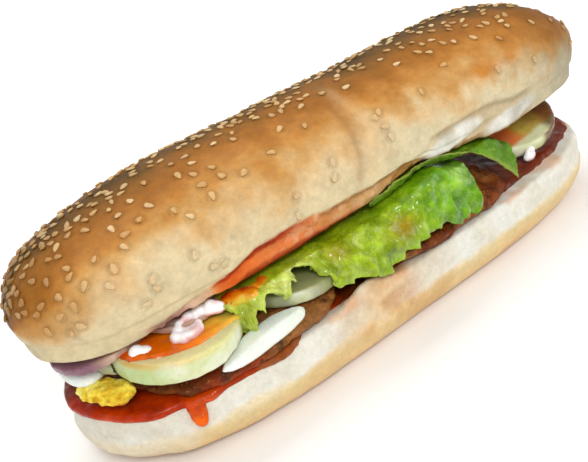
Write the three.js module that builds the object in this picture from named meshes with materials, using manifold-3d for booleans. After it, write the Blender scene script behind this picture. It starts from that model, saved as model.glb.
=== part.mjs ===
// A long sesame roll cut into two halves and filled with two flat meat patties, ketchup, boiled
// egg, cucumber, onion and lettuce. Millimetres. +X runs along the roll, -Y is the open front, +Z
// is up, and the origin is on the flat underside of the lower half, below the middle of the roll.

import * as THREE from 'three';
import Module from 'manifold-3d';
import { mergeVertices } from 'three/addons/utils/BufferGeometryUtils.js';

const manifold = await Module();
manifold.setup();

// ------------------------------------------------------------------ driving sizes

const GAP = 0.35;                 // clearance left between touching pieces
const RAD = Math.PI / 180;

const TOP = {
  halfLength: 107.5,
  halfWidth: 30,
  power: 6.3,                     // squareness of the outline, |x|^power + y^2 = 1
  equator: 11.7,                  // widest level above the cut face
  height: 31.3,                   // crown above the cut face
  lipInset: 2,                    // how far the cut edge lies inside the widest outline
  crustEdge: 4.3,                 // height of the bare crumb band under the crust
  endFullness: 0.55,              // below 1 the crown stays long towards the ends
  crownRise: 0.035,               // share by which the crown rises towards +X
  x: 0.6,
  y: 0.4,
  z: 39.9,                        // level of the cut face above the table
  tilt: -3.7 * RAD,               // the cut gapes at the front
};

const HEEL = {
  halfLength: 102.6,
  halfWidth: 33.3,
  power: 4.7,
  height: 20,
  baseEndInset: 16,               // flat underside inside the widest outline, at the ends
  baseSideInset: 8.5,             // and along the sides
  baseRise: 12,                   // height over which the side rounds out
  y: -2.3,
};

// The cut face's edge is torn away at the front and sags at both ends.
const TORN = { x: 10, width: 15, rise: 3.9 };
const LEFT_SAG = { from: -70, to: -98, drop: 2.2 };
const RIGHT_SAG = { from: 36, to: 52, drop: 1.9 };
const EDGE_REACH = 9;             // height up the side at which these have faded out

const CREASE = { x: -13, lean: 0.3, depth: 1.8, width: 4.5 };
const HUMP = { x: -20.5, height: 4.8, width: 8.5 };

const KETCHUP = { thickness: 1.1, endInset: 1.6, sideInset: 3, frontPull: 7 };

const PATTY = { level: 21.8, edge: 2.9, crown: 7.9, halfWidth: 31.5, y: -2.9, power: 4.2 };
const PATTIES = [
  { x: -54.5, halfLength: 36, seed: 0.4 },
  { x: 18.2, halfLength: 35.4, seed: 2.1 },
];

const CUCUMBERS = [
  { name: 'cucumber_1', x: -73.5, y: -17.5, z: 31.9, radius: 18, thickness: 6.6, front: 1, right: 5 },
  { name: 'cucumber_2', x: -79, y: -4.5, z: 32.2, radius: 17, thickness: 4.4, front: 2, right: 0 },
  { name: 'cucumber_3', x: -34, y: -12.5, z: 31, radius: 19.5, thickness: 4.4, front: 6, right: 2 },
  { name: 'cucumber_4', x: 72, y: -5.5, z: 30.2, radius: 19.5, thickness: 4.8, front: 17, right: -5 },
  { name: 'cucumber_5', x: 16, y: 8, z: 32.4, radius: 20, thickness: 4.2, front: -2, right: 1 },
];

const ONIONS = [
  { name: 'onion_1', x: -88, y: -5, z: 37.1, radius: 15.5, thickness: 3, front: -3, right: -8 },
  { name: 'onion_2', x: -69, y: -13.5, z: 37.9, radius: 12.5, thickness: 2.4, front: 2, right: 2 },
];

const EGG_WEDGE = { x: -56.3, y: -32, z: 26.7, halfLength: 14.8, halfWidth: 4.1, thickness: 4.6, power: 3 };
const EGG_WEDGE_TILT = { front: 0, right: -3, turn: 2 };
const EGG_END = { x: -95, y: -1, z: 29.8, halfLength: 6.5, halfWidth: 11.5, thickness: 4.4, turn: -8 };
const YOLK = { x: -95, y: -13, z: 26, halfLength: 9.3, halfWidth: 4.4, height: 6, turn: -62 };

const LEAF_THICKNESS = 1.3;

// ------------------------------------------------------------------ solids from rings

// The plan outline of a piece, |x/halfLength|^power + |y/halfWidth|^2 = 1.
class Outline extends THREE.Curve {
  constructor(halfLength, halfWidth, power) {
    super();
    this.halfLength = halfLength;
    this.halfWidth = halfWidth;
    this.power = power;
    this.arcLengthDivisions = 1200;
  }

  getPoint(share, target = new THREE.Vector2()) {
    const angle = 2 * Math.PI * share;
    const across = Math.cos(angle);
    const along = Math.sign(across) * Math.abs(across) ** (2 / this.power);
    return target.set(this.halfLength * along, this.halfWidth * Math.sin(angle));
  }
}

// Evenly spaced points on the outline, as shares of its half length and half width.
function unitOutline(halfLength, halfWidth, power, segments) {
  const curve = new Outline(halfLength, halfWidth, power);
  const points = curve.getSpacedPoints(segments).slice(0, segments);
  return points.map((point) => new THREE.Vector2(point.x / halfLength, point.y / halfWidth));
}

function weld(geometry) {
  geometry.deleteAttribute('normal');
  geometry.deleteAttribute('uv');
  const welded = mergeVertices(geometry, 1e-4);
  const index = welded.getIndex().array;
  const faces = [];
  for (let corner = 0; corner < index.length; corner += 3) {
    const [a, b, c] = [index[corner], index[corner + 1], index[corner + 2]];
    if (a !== b && b !== c && c !== a) {
      faces.push(a, b, c);
    }
  }
  welded.setIndex(faces);
  return welded;
}

// One closed body of stacked rings, listed upwards: each has a half length, a half width and a
// height, and the first and last shrink to a point. reshape moves each finished point.
function ringBody(rings, outline, reshape = () => {}) {
  const profile = rings.map((ring) => new THREE.Vector2(ring.halfWidth, ring.z));
  const geometry = new THREE.LatheGeometry(profile, outline.length);
  const position = geometry.getAttribute('position');
  const point = new THREE.Vector3();
  for (let index = 0; index < position.count; index += 1) {
    const ring = rings[index % rings.length];
    const around = outline[Math.floor(index / rings.length) % outline.length];
    point.set(ring.halfLength * around.x, ring.halfWidth * around.y, ring.z);
    reshape(point, ring);
    position.setXYZ(index, point.x, point.y, point.z);
  }
  return weld(geometry);
}

function ringAt(size, inset, z, extra = {}) {
  return { halfLength: size.halfLength - inset, halfWidth: size.halfWidth - inset, z, ...extra };
}

function pointAt(z) {
  return { halfLength: 0, halfWidth: 0, z };
}

function bell(offset, width) {
  return Math.exp(-((offset / width) ** 2));
}

function material(color, roughness) {
  return new THREE.MeshStandardMaterial({ color, roughness, metalness: 0 });
}

function meshOf(name, geometry, finish) {
  const mesh = new THREE.Mesh(geometry, finish);
  mesh.name = name;
  return mesh;
}

// ------------------------------------------------------------------ cutting with clearance

function manifoldOf(mesh, toFrame) {
  mesh.updateMatrix();
  const geometry = mesh.geometry.clone().applyMatrix4(mesh.matrix).applyMatrix4(toFrame);
  return new manifold.Manifold(new manifold.Mesh({
    numProp: 3,
    vertProperties: new Float32Array(geometry.getAttribute('position').array),
    triVerts: new Uint32Array(geometry.getIndex().array),
  }));
}

function largestOf(body) {
  const parts = body.decompose();
  return parts.reduce((best, part) => (part.volume() > best.volume() ? part : best));
}

// Cuts the mesh back from its neighbours and keeps its largest part.
function carve(mesh, cutters) {
  mesh.updateMatrix();
  const toMesh = mesh.matrix.clone().invert();
  let body = manifoldOf(mesh, toMesh);
  for (const cutter of cutters) {
    body = body.subtract(manifoldOf(cutter, toMesh));
  }
  const cut = largestOf(body).getMesh();
  const geometry = new THREE.BufferGeometry();
  geometry.setAttribute('position', new THREE.BufferAttribute(new Float32Array(cut.vertProperties), 3));
  geometry.setIndex(Array.from(cut.triVerts));
  mesh.geometry = weld(geometry);
  return mesh;
}

// ------------------------------------------------------------------ the roll

function bottomBun() {
  const rounding = [0, 22, 44, 66, 90].map((degrees) => ({
    halfLength: HEEL.halfLength - HEEL.baseEndInset * (1 - Math.sin(degrees * RAD)),
    halfWidth: HEEL.halfWidth - HEEL.baseSideInset * (1 - Math.sin(degrees * RAD)),
    z: HEEL.baseRise * (1 - Math.cos(degrees * RAD)),
  }));
  const rings = [
    pointAt(0),
    ...rounding,
    ringAt(HEEL, 0.2, HEEL.height - 2.4, { rise: 0.3 }),
    ringAt(HEEL, 1, HEEL.height - 0.5, { rise: 1 }),
    ringAt(HEEL, 2.6, HEEL.height, { rise: 0.95 }),
    ringAt(HEEL, 6, HEEL.height),
    pointAt(HEEL.height),
  ];
  const outline = unitOutline(HEEL.halfLength, HEEL.halfWidth, HEEL.power, 60);
  const geometry = ringBody(rings, outline, (point, ring) => {
    const front = point.y < 0 ? 1 : 0;
    point.z += front * (ring.rise ?? 0) * HUMP.height * bell(point.x - HUMP.x, HUMP.width);
  });
  const mesh = meshOf('bottom_bun', geometry, material('#d9c8a2', 0.85));
  mesh.position.y = HEEL.y;
  return mesh;
}

// How far the cut face's edge lies above its level at a place of the upper half.
function edgeRise(x, y) {
  const { smoothstep } = THREE.MathUtils;
  const torn = TORN.rise * bell(x - TORN.x, TORN.width) * smoothstep(-y, 10, 27);
  const left = LEFT_SAG.drop * smoothstep(-x, -LEFT_SAG.from, -LEFT_SAG.to);
  const right = RIGHT_SAG.drop * smoothstep(x, RIGHT_SAG.from, RIGHT_SAG.to);
  return torn - (left + right) * smoothstep(-y, -10, 8);
}

// The crease across the crown fades out over the back.
function sink(point) {
  const radial = new THREE.Vector2(point.y, point.z - TOP.equator * 0.6);
  const away = radial.length();
  const front = THREE.MathUtils.smoothstep(-point.y, 0, TOP.halfWidth * 0.5);
  const above = THREE.MathUtils.smoothstep(point.z, TOP.crustEdge, TOP.equator);
  const along = point.x - CREASE.x - CREASE.lean * point.z;
  const depth = CREASE.depth * front * above * bell(along, CREASE.width);
  if (away > depth) {
    radial.multiplyScalar(1 - depth / away);
    point.y = radial.x;
    point.z = radial.y + TOP.equator * 0.6;
  }
}

function topBun(grow = 0) {
  const size = { halfLength: TOP.halfLength + grow, halfWidth: TOP.halfWidth + grow };
  const dome = [0, 13, 26, 39, 52, 65, 78].map((degrees) => ({
    halfLength: size.halfLength * Math.cos(degrees * RAD) ** TOP.endFullness,
    halfWidth: size.halfWidth * Math.cos(degrees * RAD),
    z: TOP.equator + (TOP.height - TOP.equator) * Math.sin(degrees * RAD),
  }));
  const rings = [
    pointAt(-grow),
    ringAt(size, TOP.lipInset + 1.2, -grow),
    ringAt(size, TOP.lipInset, 0.7 - grow),
    ringAt(size, TOP.lipInset * 0.75, TOP.crustEdge),
    ringAt(size, TOP.lipInset * 0.35, TOP.crustEdge + 0.8),
    ringAt(size, TOP.lipInset * 0.1, TOP.crustEdge + 3.4),
    ...dome,
    pointAt(TOP.height + grow),
  ];
  const outline = unitOutline(TOP.halfLength, TOP.halfWidth, TOP.power, 68);
  const geometry = ringBody(rings, outline, (point) => {
    const low = 1 - THREE.MathUtils.smoothstep(point.z, 0, EDGE_REACH);
    point.z += low * edgeRise(point.x, point.y);
    const above = Math.max(point.z - TOP.equator, 0);
    point.z += above * TOP.crownRise * point.x / TOP.halfLength;
    sink(point);
  });
  const mesh = meshOf('top_bun', geometry, material('#b9824a', 0.55));
  mesh.rotation.x = TOP.tilt;
  mesh.position.set(TOP.x, TOP.y, TOP.z);
  return mesh;
}

// ------------------------------------------------------------------ flat layers

function ketchupLayer() {
  const size = {
    halfLength: HEEL.halfLength - KETCHUP.endInset,
    halfWidth: HEEL.halfWidth - KETCHUP.sideInset,
  };
  const rings = [
    pointAt(0),
    ringAt(size, 0.9, 0),
    ringAt(size, 0, KETCHUP.thickness * 0.45),
    ringAt(size, 1, KETCHUP.thickness),
    pointAt(KETCHUP.thickness),
  ];
  const outline = unitOutline(size.halfLength, size.halfWidth, HEEL.power, 36);
  const geometry = ringBody(rings, outline, (point) => {
    const middle = THREE.MathUtils.smoothstep(point.x, -78, -62) * (point.y < 0 ? 1 : 0);
    point.y += middle * KETCHUP.frontPull * Math.abs(point.y / size.halfWidth);
  });
  const mesh = meshOf('ketchup_layer', geometry, material('#a23410', 0.2));
  mesh.position.set(0, HEEL.y, HEEL.height + GAP);
  return mesh;
}

// A lens of minced meat with a thin, uneven edge.
function patty(index, grow = 0) {
  const { x, halfLength, seed } = PATTIES[index];
  const size = { halfLength: halfLength + grow, halfWidth: PATTY.halfWidth + grow };
  const bulge = (share) => PATTY.edge + (PATTY.crown - PATTY.edge) * share + grow;
  const rings = [
    pointAt(-grow),
    ringAt(size, 2.4, -grow),
    ringAt(size, 0.4, 0.9 - grow * 0.5),
    ringAt(size, 0, 1.7),
    ringAt(size, 1.2, bulge(0)),
    ringAt(size, 5.5, bulge(0.3)),
    ringAt(size, 12, bulge(0.72)),
    pointAt(bulge(1)),
  ];
  const outline = unitOutline(halfLength, PATTY.halfWidth, PATTY.power, 32);
  const geometry = ringBody(rings, outline, (point) => {
    const angle = Math.atan2(point.y, point.x);
    const slow = 0.015 * (1 + Math.sin(5 * angle + seed));
    const fast = 0.008 * (1 + Math.sin(9 * angle + 3 * seed));
    point.x *= 1 - slow - fast;
    point.y *= 1 - slow - fast;
  });
  const mesh = meshOf(`kebab_${index + 1}`, geometry, material('#6e4020', 0.8));
  mesh.position.set(x, PATTY.y, PATTY.level);
  return mesh;
}

// ------------------------------------------------------------------ slices

// A round or oval slice with rounded rims, drooping at its front and right.
function slice(spec, finish, grow = 0) {
  const halfLength = (spec.halfLength ?? spec.radius) + grow;
  const halfWidth = (spec.halfWidth ?? spec.radius) + grow;
  const size = { halfLength, halfWidth };
  const half = spec.thickness / 2 + grow;
  const rounding = spec.rounding ?? 0.9;
  const rings = [
    pointAt(-half),
    ringAt(size, rounding, -half),
    ringAt(size, rounding * 0.25, -half + rounding * 0.7),
    ringAt(size, 0, 0),
    ringAt(size, rounding * 0.25, half - rounding * 0.7),
    ringAt(size, rounding, half),
    pointAt(half),
  ];
  const outline = unitOutline(halfLength, halfWidth, spec.power ?? 2, 24);
  const geometry = ringBody(rings, outline, (point) => {
    point.y *= 1 + (spec.taper ?? 0) * point.x / halfLength;
  });
  const mesh = meshOf(spec.name, geometry, finish);
  mesh.rotation.set((spec.front ?? 0) * RAD, (spec.right ?? 0) * RAD, (spec.turn ?? 0) * RAD);
  mesh.position.set(spec.x, spec.y, spec.z);
  return mesh;
}

function cucumber(index, grow = 0) {
  return slice(CUCUMBERS[index], material('#c9d3a4', 0.35), grow);
}

function eggWedge(grow = 0) {
  const spec = { name: 'egg_white_2', rounding: 1.6, taper: -0.12, ...EGG_WEDGE, ...EGG_WEDGE_TILT };
  return slice(spec, material('#eef0e4', 0.35), grow);
}

function eggEnd(grow = 0) {
  return slice({ name: 'egg_white_1', rounding: 1.6, ...EGG_END }, material('#eef0e4', 0.35), grow);
}

// Crumbled yolk: a lumpy bar along the roll's end.
function eggYolk(grow = 0) {
  const size = { halfLength: YOLK.halfLength + grow, halfWidth: YOLK.halfWidth + grow };
  const half = YOLK.height / 2 + grow;
  const rings = [-90, -58, -30, 0, 30, 58, 90].map((degrees) => ({
    halfLength: size.halfLength * Math.cos(degrees * RAD) ** 0.7,
    halfWidth: size.halfWidth * Math.cos(degrees * RAD) ** 0.7,
    z: half * Math.sin(degrees * RAD),
  }));
  rings[0] = pointAt(-half);
  rings[rings.length - 1] = pointAt(half);
  const geometry = ringBody(rings, unitOutline(YOLK.halfLength, YOLK.halfWidth, 2.4, 22), (point) => {
    const lump = 1 - 0.05 * (1 + Math.sin(0.9 * point.x + 1) * Math.cos(1.1 * point.z));
    point.y *= lump;
    point.z *= lump;
  });
  const mesh = meshOf('egg_yolk', geometry, material('#e6c04a', 0.8));
  mesh.rotation.z = YOLK.turn * RAD;
  mesh.position.set(YOLK.x, YOLK.y, YOLK.z);
  return mesh;
}

// A slice of onion: nested rings show as ridges on both faces.
function onion(index, grow = 0) {
  const spec = ONIONS[index];
  const half = spec.thickness / 2 + grow;
  const ridges = [0.3, 0.5, 0.68, 0.85];
  const face = (side) => ridges.map((share, place) => ({
    halfLength: spec.radius * share,
    halfWidth: spec.radius * share,
    z: side * (half - (place % 2) * 0.55),
  }));
  const edge = [-0.75, 0.75].map((share) => ({
    halfLength: spec.radius + grow - Math.abs(share) * 0.5,
    halfWidth: spec.radius + grow - Math.abs(share) * 0.5,
    z: half * share,
  }));
  const rings = [pointAt(-half), ...face(-1), ...edge, ...face(1).reverse(), pointAt(half)];
  const mesh = meshOf(spec.name, ringBody(rings, unitOutline(1, 1, 2, 20)), material('#a98296', 0.35));
  mesh.rotation.set(spec.front * RAD, spec.right * RAD, 0);
  mesh.position.set(spec.x, spec.y, spec.z);
  return mesh;
}

// ------------------------------------------------------------------ lettuce

// A leaf is a closed sheet round the surface of its middle.
function leafSheet(name, leaf, along, across, finish) {
  const geometry = new THREE.BoxGeometry(1, 1, 1, along, across, 1);
  const position = geometry.getAttribute('position');
  const step = 0.01;
  const point = new THREE.Vector3();
  const tangentAlong = new THREE.Vector3();
  const tangentAcross = new THREE.Vector3();
  for (let index = 0; index < position.count; index += 1) {
    const u = position.getX(index) + 0.5;
    const v = position.getY(index) + 0.5;
    point.copy(leafSurface(leaf, u, v));
    tangentAlong.copy(leafSurface(leaf, u + step, v)).sub(leafSurface(leaf, u - step, v));
    tangentAcross.copy(leafSurface(leaf, u, v + step)).sub(leafSurface(leaf, u, v - step));
    const normal = tangentAlong.cross(tangentAcross).normalize();
    point.addScaledVector(normal, position.getZ(index) * LEAF_THICKNESS);
    position.setXYZ(index, point.x, point.y, point.z);
  }
  return meshOf(name, weld(geometry), finish);
}

// The bright leaf's hanging edge, from its left tip to its right tip.
const BRIGHT_EDGE = new THREE.CatmullRomCurve3([
  new THREE.Vector3(-62, -26, 38),
  new THREE.Vector3(-55, -32.5, 32),
  new THREE.Vector3(-49.5, -30.5, 35.8),
  new THREE.Vector3(-45, -31, 33.6),
  new THREE.Vector3(-39, -28.5, 37.3),
  new THREE.Vector3(-32.5, -29.5, 33.2),
  new THREE.Vector3(-28.2, -34, 26.4),
  new THREE.Vector3(-21.5, -36.3, 27.8),
  new THREE.Vector3(-12, -37, 23.9),
  new THREE.Vector3(-4, -37, 27.6),
  new THREE.Vector3(5, -36.6, 28),
  new THREE.Vector3(14.5, -36, 26.2),
  new THREE.Vector3(23.7, -35.2, 23),
  new THREE.Vector3(29, -33, 25.5),
]);

// The darker leaf's front edge arches up under the torn edge and comes down at its right tip.
const DARK_EDGE = new THREE.CatmullRomCurve3([
  new THREE.Vector3(-10, -27, 40.2),
  new THREE.Vector3(1, -28.6, 42.5),
  new THREE.Vector3(11, -29.2, 42.9),
  new THREE.Vector3(21, -29.5, 42.1),
  new THREE.Vector3(31, -30, 39),
  new THREE.Vector3(40, -30.6, 33.7),
  new THREE.Vector3(52, -30.8, 24.3),
]);

const BRIGHT_LEAF = {
  edge: BRIGHT_EDGE,
  backLeft: -84,
  backRight: 30,
  level: 37.3,
  slope: 0.5,
  dip: 1.8,
  brow: -27,
  bend: 0.5,
  ruffles: 6.5,
  ruffleReach: 1.4,
  lift: [18, 30],                 // from here to here it no longer follows the torn edge up
};
const DARK_LEAF = {
  edge: DARK_EDGE,
  backLeft: 31,
  backRight: 88,
  level: 38.5,
  slope: 0.9,
  dip: 0,
  brow: -26,
  bend: 0.6,
  ruffles: 3.3,
  ruffleReach: 0.2,
  lift: [90, 100],
};
const BACK_FRILL = { share: 0.2, y: 27, reach: 5.5, drop: 9 };

// The level just under the upper half's cut face.
function underTop(y) {
  return (TOP.y - y) * Math.tan(-TOP.tilt);
}

// The middle of a leaf at u along it and v from its back edge to its front edge. It lies flat
// between two bends: over the back its edge hangs a little, and from the brow its front hangs.
function leafSurface(leaf, u, v) {
  const { clamp, lerp, smoothstep } = THREE.MathUtils;
  const edge = leaf.edge.getPointAt(clamp(u, 0, 1));
  const bend = clamp((v - leaf.bend) / (1 - leaf.bend), 0, 1);
  const back = clamp(1 - v / BACK_FRILL.share, 0, 1);
  const flat = clamp((v - BACK_FRILL.share) / (leaf.bend - BACK_FRILL.share), 0, 1);
  const brow = lerp(edge.y, leaf.brow, 0.75);
  const wave = Math.sin(2 * Math.PI * (leaf.ruffles * u + 0.5 * Math.sin(4 * v)));
  const frontY = (edge.y - brow) * Math.sin(bend * Math.PI / 2) - leaf.ruffleReach * wave * bend;
  const backY = BACK_FRILL.reach * Math.sin(back * Math.PI / 2) + 1.2 * wave * back;
  const x = lerp(lerp(leaf.backLeft, leaf.backRight, u), edge.x, flat);
  const y = lerp(BACK_FRILL.y, brow, flat) + frontY + backY;
  const lift = edgeRise(x, Math.max(y, brow)) * (1 - smoothstep(x, ...leaf.lift));
  const dip = leaf.dip * smoothstep(edge.x, -16, 2);
  const level = leaf.level - dip + leaf.slope * underTop(Math.max(y, brow)) + lift;
  const inner = level + 0.4 * wave * (1 - bend) * (1 - back) - BACK_FRILL.drop * back ** 1.7;
  return new THREE.Vector3(x, y, lerp(inner, edge.z, bend ** 1.7));
}

// ------------------------------------------------------------------ assembly

const buns = [bottomBun(), topBun()];
const roof = topBun(GAP);
const patties = PATTIES.map((_, index) => patty(index));
const pattyCutters = PATTIES.map((_, index) => patty(index, GAP));

const yolk = carve(eggYolk(), [pattyCutters[0]]);
const eggEndPiece = carve(eggEnd(), [eggYolk(GAP), pattyCutters[0]]);
const eggWedgePiece = carve(eggWedge(), [pattyCutters[0]]);
const eggCutters = [eggEnd(GAP), eggWedge(GAP), eggYolk(GAP)];

const cucumbers = CUCUMBERS.map((_, index) => cucumber(index));
const cucumberCutters = CUCUMBERS.map((_, index) => cucumber(index, GAP));
cucumbers.forEach((mesh, index) => {
  carve(mesh, [...pattyCutters, ...eggCutters, ...cucumberCutters.slice(0, index), roof]);
});

const onions = ONIONS.map((_, index) => onion(index));
const onionCutters = ONIONS.map((_, index) => onion(index, GAP));
onions.forEach((mesh, index) => {
  carve(mesh, [...cucumberCutters, ...eggCutters, ...onionCutters.slice(0, index), roof]);
});

const fillings = [...pattyCutters, ...eggCutters, ...cucumberCutters, ...onionCutters, roof];
const brightLeaf = leafSheet('lettuce_1', BRIGHT_LEAF, 28, 8, material('#86b82a', 0.4));
const darkLeaf = leafSheet('lettuce_2', DARK_LEAF, 13, 8, material('#5f7a24', 0.4));
carve(brightLeaf, fillings);
carve(darkLeaf, fillings);

const group = new THREE.Group();
group.add(...buns, ketchupLayer(), ...patties, eggEndPiece, eggWedgePiece, yolk);
group.add(...cucumbers, ...onions, brightLeaf, darkLeaf);

export default group;
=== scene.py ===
import math

import bmesh
import bpy
import numpy as np
from mathutils import Matrix, Vector
from mathutils.kdtree import KDTree


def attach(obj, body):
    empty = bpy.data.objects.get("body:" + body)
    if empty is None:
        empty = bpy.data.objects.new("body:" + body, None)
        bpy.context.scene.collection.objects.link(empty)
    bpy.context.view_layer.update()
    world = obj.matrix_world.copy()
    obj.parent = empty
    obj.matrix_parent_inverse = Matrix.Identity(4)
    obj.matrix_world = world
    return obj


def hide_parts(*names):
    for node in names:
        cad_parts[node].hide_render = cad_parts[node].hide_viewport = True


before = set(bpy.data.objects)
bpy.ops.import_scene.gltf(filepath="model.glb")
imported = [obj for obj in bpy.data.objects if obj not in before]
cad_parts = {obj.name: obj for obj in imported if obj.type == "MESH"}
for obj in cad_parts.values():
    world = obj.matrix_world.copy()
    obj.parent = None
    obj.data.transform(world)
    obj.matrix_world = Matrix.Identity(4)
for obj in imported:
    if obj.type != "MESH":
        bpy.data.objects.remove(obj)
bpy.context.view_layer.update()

MM = 0.001

# ------------------------------------------------------------------ numbers and noise


def linear(colour):
    c = np.asarray(colour, float) / 255
    return np.where(c <= 0.04045, c / 12.92, ((c + 0.055) / 1.055) ** 2.4)


def ramp(t, stops):
    """Colours along a list of (place, sRGB colour), as linear values."""
    places = [place for place, _ in stops]
    colours = np.array([colour for _, colour in stops], float)
    t = np.asarray(t, float)
    return linear(np.stack([np.interp(t, places, colours[:, i]) for i in range(3)], -1))


def blend(a, b, share):
    share = np.clip(np.asarray(share, float), 0, 1)[..., None]
    return a * (1 - share) + b * share


def layered(colour, *layers):
    """A linear colour with (sRGB shade, share) layers laid over it in turn."""
    for shade, share in layers:
        colour = blend(colour, linear(shade), share)
    return colour


def darker(colour, share):
    return colour * (1 - share)[:, None]


def smooth(t, low, high):
    t = np.clip((np.asarray(t, float) - low) / (high - low), 0, 1)
    return t * t * (3 - 2 * t)


def fade(t, low, high):
    return 1 - smooth(t, low, high)


def window(t, low, full, last, high):
    """1 from full to last, falling to 0 at low and at high."""
    return smooth(t, low, full) * fade(t, last, high)


def bell(offset, width):
    return np.exp(-((offset / width) ** 2))


def lattice(x, y, z, seed):
    """A repeatable random share for each whole-numbered place."""
    h = x * 374761393 + y * 668265263 + z * 2147483629 + seed * 974634777
    h = (h ^ (h >> 13)) & 0xFFFFFFFF
    h = (h * 1274126177) & 0xFFFFFFFF
    return ((h ^ (h >> 16)) & 0xFFFFFFFF) / 0xFFFFFFFF


NOISE_SHIFT = 512


def noise(points, size, seed=0):
    """Smooth noise from -1 to 1 whose lumps are about size apart."""
    q = np.asarray(points, float) / size + NOISE_SHIFT
    cell = np.floor(q).astype(np.int64)
    f = q - cell
    f = f * f * f * (f * (f * 6 - 15) + 10)
    total = np.zeros(len(q))
    for corner in np.ndindex(2, 2, 2):
        x, y, z = np.where(corner, f, 1 - f).T
        total += x * y * z * lattice(*(cell + corner).T, seed)
    return total * 2 - 1


def fractal(points, size, octaves=3, seed=0):
    total = np.zeros(len(points))
    for octave in range(octaves):
        total += 0.5**octave * noise(points, size / 2**octave, seed + 17 * octave)
    return total


def stretched(points, x=1.0, y=1.0, z=1.0):
    return np.asarray(points) * np.array([x, y, z])


def spot(points, centre, width, wander=0.0, **stretch):
    """1 at a centre, falling off over a width."""
    return bell(np.linalg.norm(stretched(points - np.array(centre), **stretch), axis=1) + wander, width)


def path_run(points, power=1.0):
    """Length along a line of points up to each of them."""
    steps = np.linalg.norm(np.diff(points, axis=0), axis=1)
    return np.concatenate([[0], np.cumsum(steps**power)])


def nearest(points, wanted):
    """For each wanted place, the number of the nearest of the points."""
    tree = KDTree(len(points))
    for number, point in enumerate(points):
        tree.insert(point, number)
    tree.balance()
    return np.array([tree.find(place)[1] for place in wanted])


# ------------------------------------------------------------------ meshes


def placed(name, data):
    thing = bpy.data.objects.new(name, data)
    bpy.context.scene.collection.objects.link(thing)
    return thing


def grid_quads(rows, columns, around=False):
    index = np.arange(rows * columns).reshape(rows, columns)
    if around:
        index = np.hstack([index, index[:, :1]])
    corners = [index[:-1, :-1], index[1:, :-1], index[1:, 1:], index[:-1, 1:]]
    return np.stack(corners, -1).reshape(-1, 4)


def mesh_object(name, points, faces, merge=0.02, colour=None):
    """A mesh from points in millimetres, welded, with its faces pointing out."""
    mesh = bpy.data.meshes.new(name)
    mesh.from_pydata((np.asarray(points) * MM).tolist(), [], np.asarray(faces).tolist())
    if colour is not None:
        paint(mesh, colour)
    work = bmesh.new()
    work.from_mesh(mesh)
    bmesh.ops.remove_doubles(work, verts=work.verts, dist=merge * MM)
    unused = [vertex for vertex in work.verts if not vertex.link_faces]
    bmesh.ops.delete(work, geom=unused, context="VERTS")
    bmesh.ops.recalc_face_normals(work, faces=work.faces)
    work.to_mesh(mesh)
    work.free()
    mesh.shade_smooth()
    return placed(name, mesh)


def points_of(piece):
    count = len(piece.data.vertices)
    points = np.empty(count * 3)
    piece.data.vertices.foreach_get("co", points)
    return points.reshape(-1, 3) / MM


def normals_of(piece):
    normals = np.empty(len(piece.data.vertices) * 3)
    piece.data.vertex_normals.foreach_get("vector", normals)
    return normals.reshape(-1, 3)


def move_points(piece, points):
    piece.data.vertices.foreach_set("co", (points * MM).ravel())
    piece.data.update()


def swell(piece, height):
    """Moves each point along its normal by height(points, normals), and returns the points."""
    points, normals = points_of(piece), normals_of(piece)
    move_points(piece, points + normals * height(points, normals)[:, None])
    return points_of(piece)


def paint(mesh, colour, rough=0.0):
    """Stores a linear colour and a roughness share at each point, for the material's nodes."""
    count = len(mesh.vertices)
    rgba = np.ones((count, 4))
    rgba[:, :3] = np.clip(colour, 0, 1)
    mesh.attributes.new("tint", "FLOAT_COLOR", "POINT").data.foreach_set("color", rgba.ravel())
    coarse = np.clip(np.zeros(count) + rough, 0, 1)
    mesh.attributes.new("coarse", "FLOAT", "POINT").data.foreach_set("value", coarse)


def roughened(piece, *lumps, sink=0.0):
    """Swells a piece by lumps, each a (depth, size, octaves, seed), and returns its points."""
    return swell(piece, lambda p, _: sum(depth * fractal(p, *kind) for depth, *kind in lumps) - sink)


def finish_piece(piece, colour, material, slot, *nodes, rough=0.0):
    """Colours a piece unless it is already, and says what it is made of; slot, what it stands for, is not
    used.
    """
    if colour is not None:
        paint(piece.data, colour, rough)
    piece.data.materials.clear()
    piece.data.materials.append(material)
    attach(piece, "root")
    if nodes:
        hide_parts(*nodes)


def apply_modifiers(piece):
    evaluated = piece.evaluated_get(bpy.context.evaluated_depsgraph_get())
    mesh = bpy.data.meshes.new_from_object(evaluated)
    piece.modifiers.clear()
    old = piece.data
    piece.data = mesh
    bpy.data.meshes.remove(old)
    piece.data.shade_smooth()


def remeshed(piece, voxel, rounds, factor=0.5):
    """Rounds off a solid's facets: an even mesh of voxel-sized faces, smoothed."""
    remesh = piece.modifiers.new("even", "REMESH")
    remesh.mode = "VOXEL"
    remesh.voxel_size = voxel * MM
    relax = piece.modifiers.new("relax", "SMOOTH")
    relax.factor = factor
    relax.iterations = rounds
    apply_modifiers(piece)
    return piece


def refined(node, name, voxel, rounds):
    """A smooth piece with the shape and place of a CAD node."""
    return remeshed(placed(name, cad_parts[node].data.copy()), voxel, rounds)


BALL_ROWS, BALL_COLUMNS = 9, 14


def ball_points(centre, radii, turn):
    lat = np.linspace(-math.pi / 2, math.pi / 2, BALL_ROWS)
    lon = np.linspace(0, 2 * math.pi, BALL_COLUMNS, endpoint=False)
    lat, lon = np.meshgrid(lat, lon, indexing="ij")
    unit = np.stack([np.cos(lat) * np.cos(lon), np.cos(lat) * np.sin(lon), np.sin(lat)], -1)
    x, y, z = (unit.reshape(-1, 3) * np.asarray(radii)).T
    c, s = math.cos(math.radians(turn)), math.sin(math.radians(turn))
    return np.stack([x * c - y * s, x * s + y * c, z], -1) + np.asarray(centre)


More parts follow.
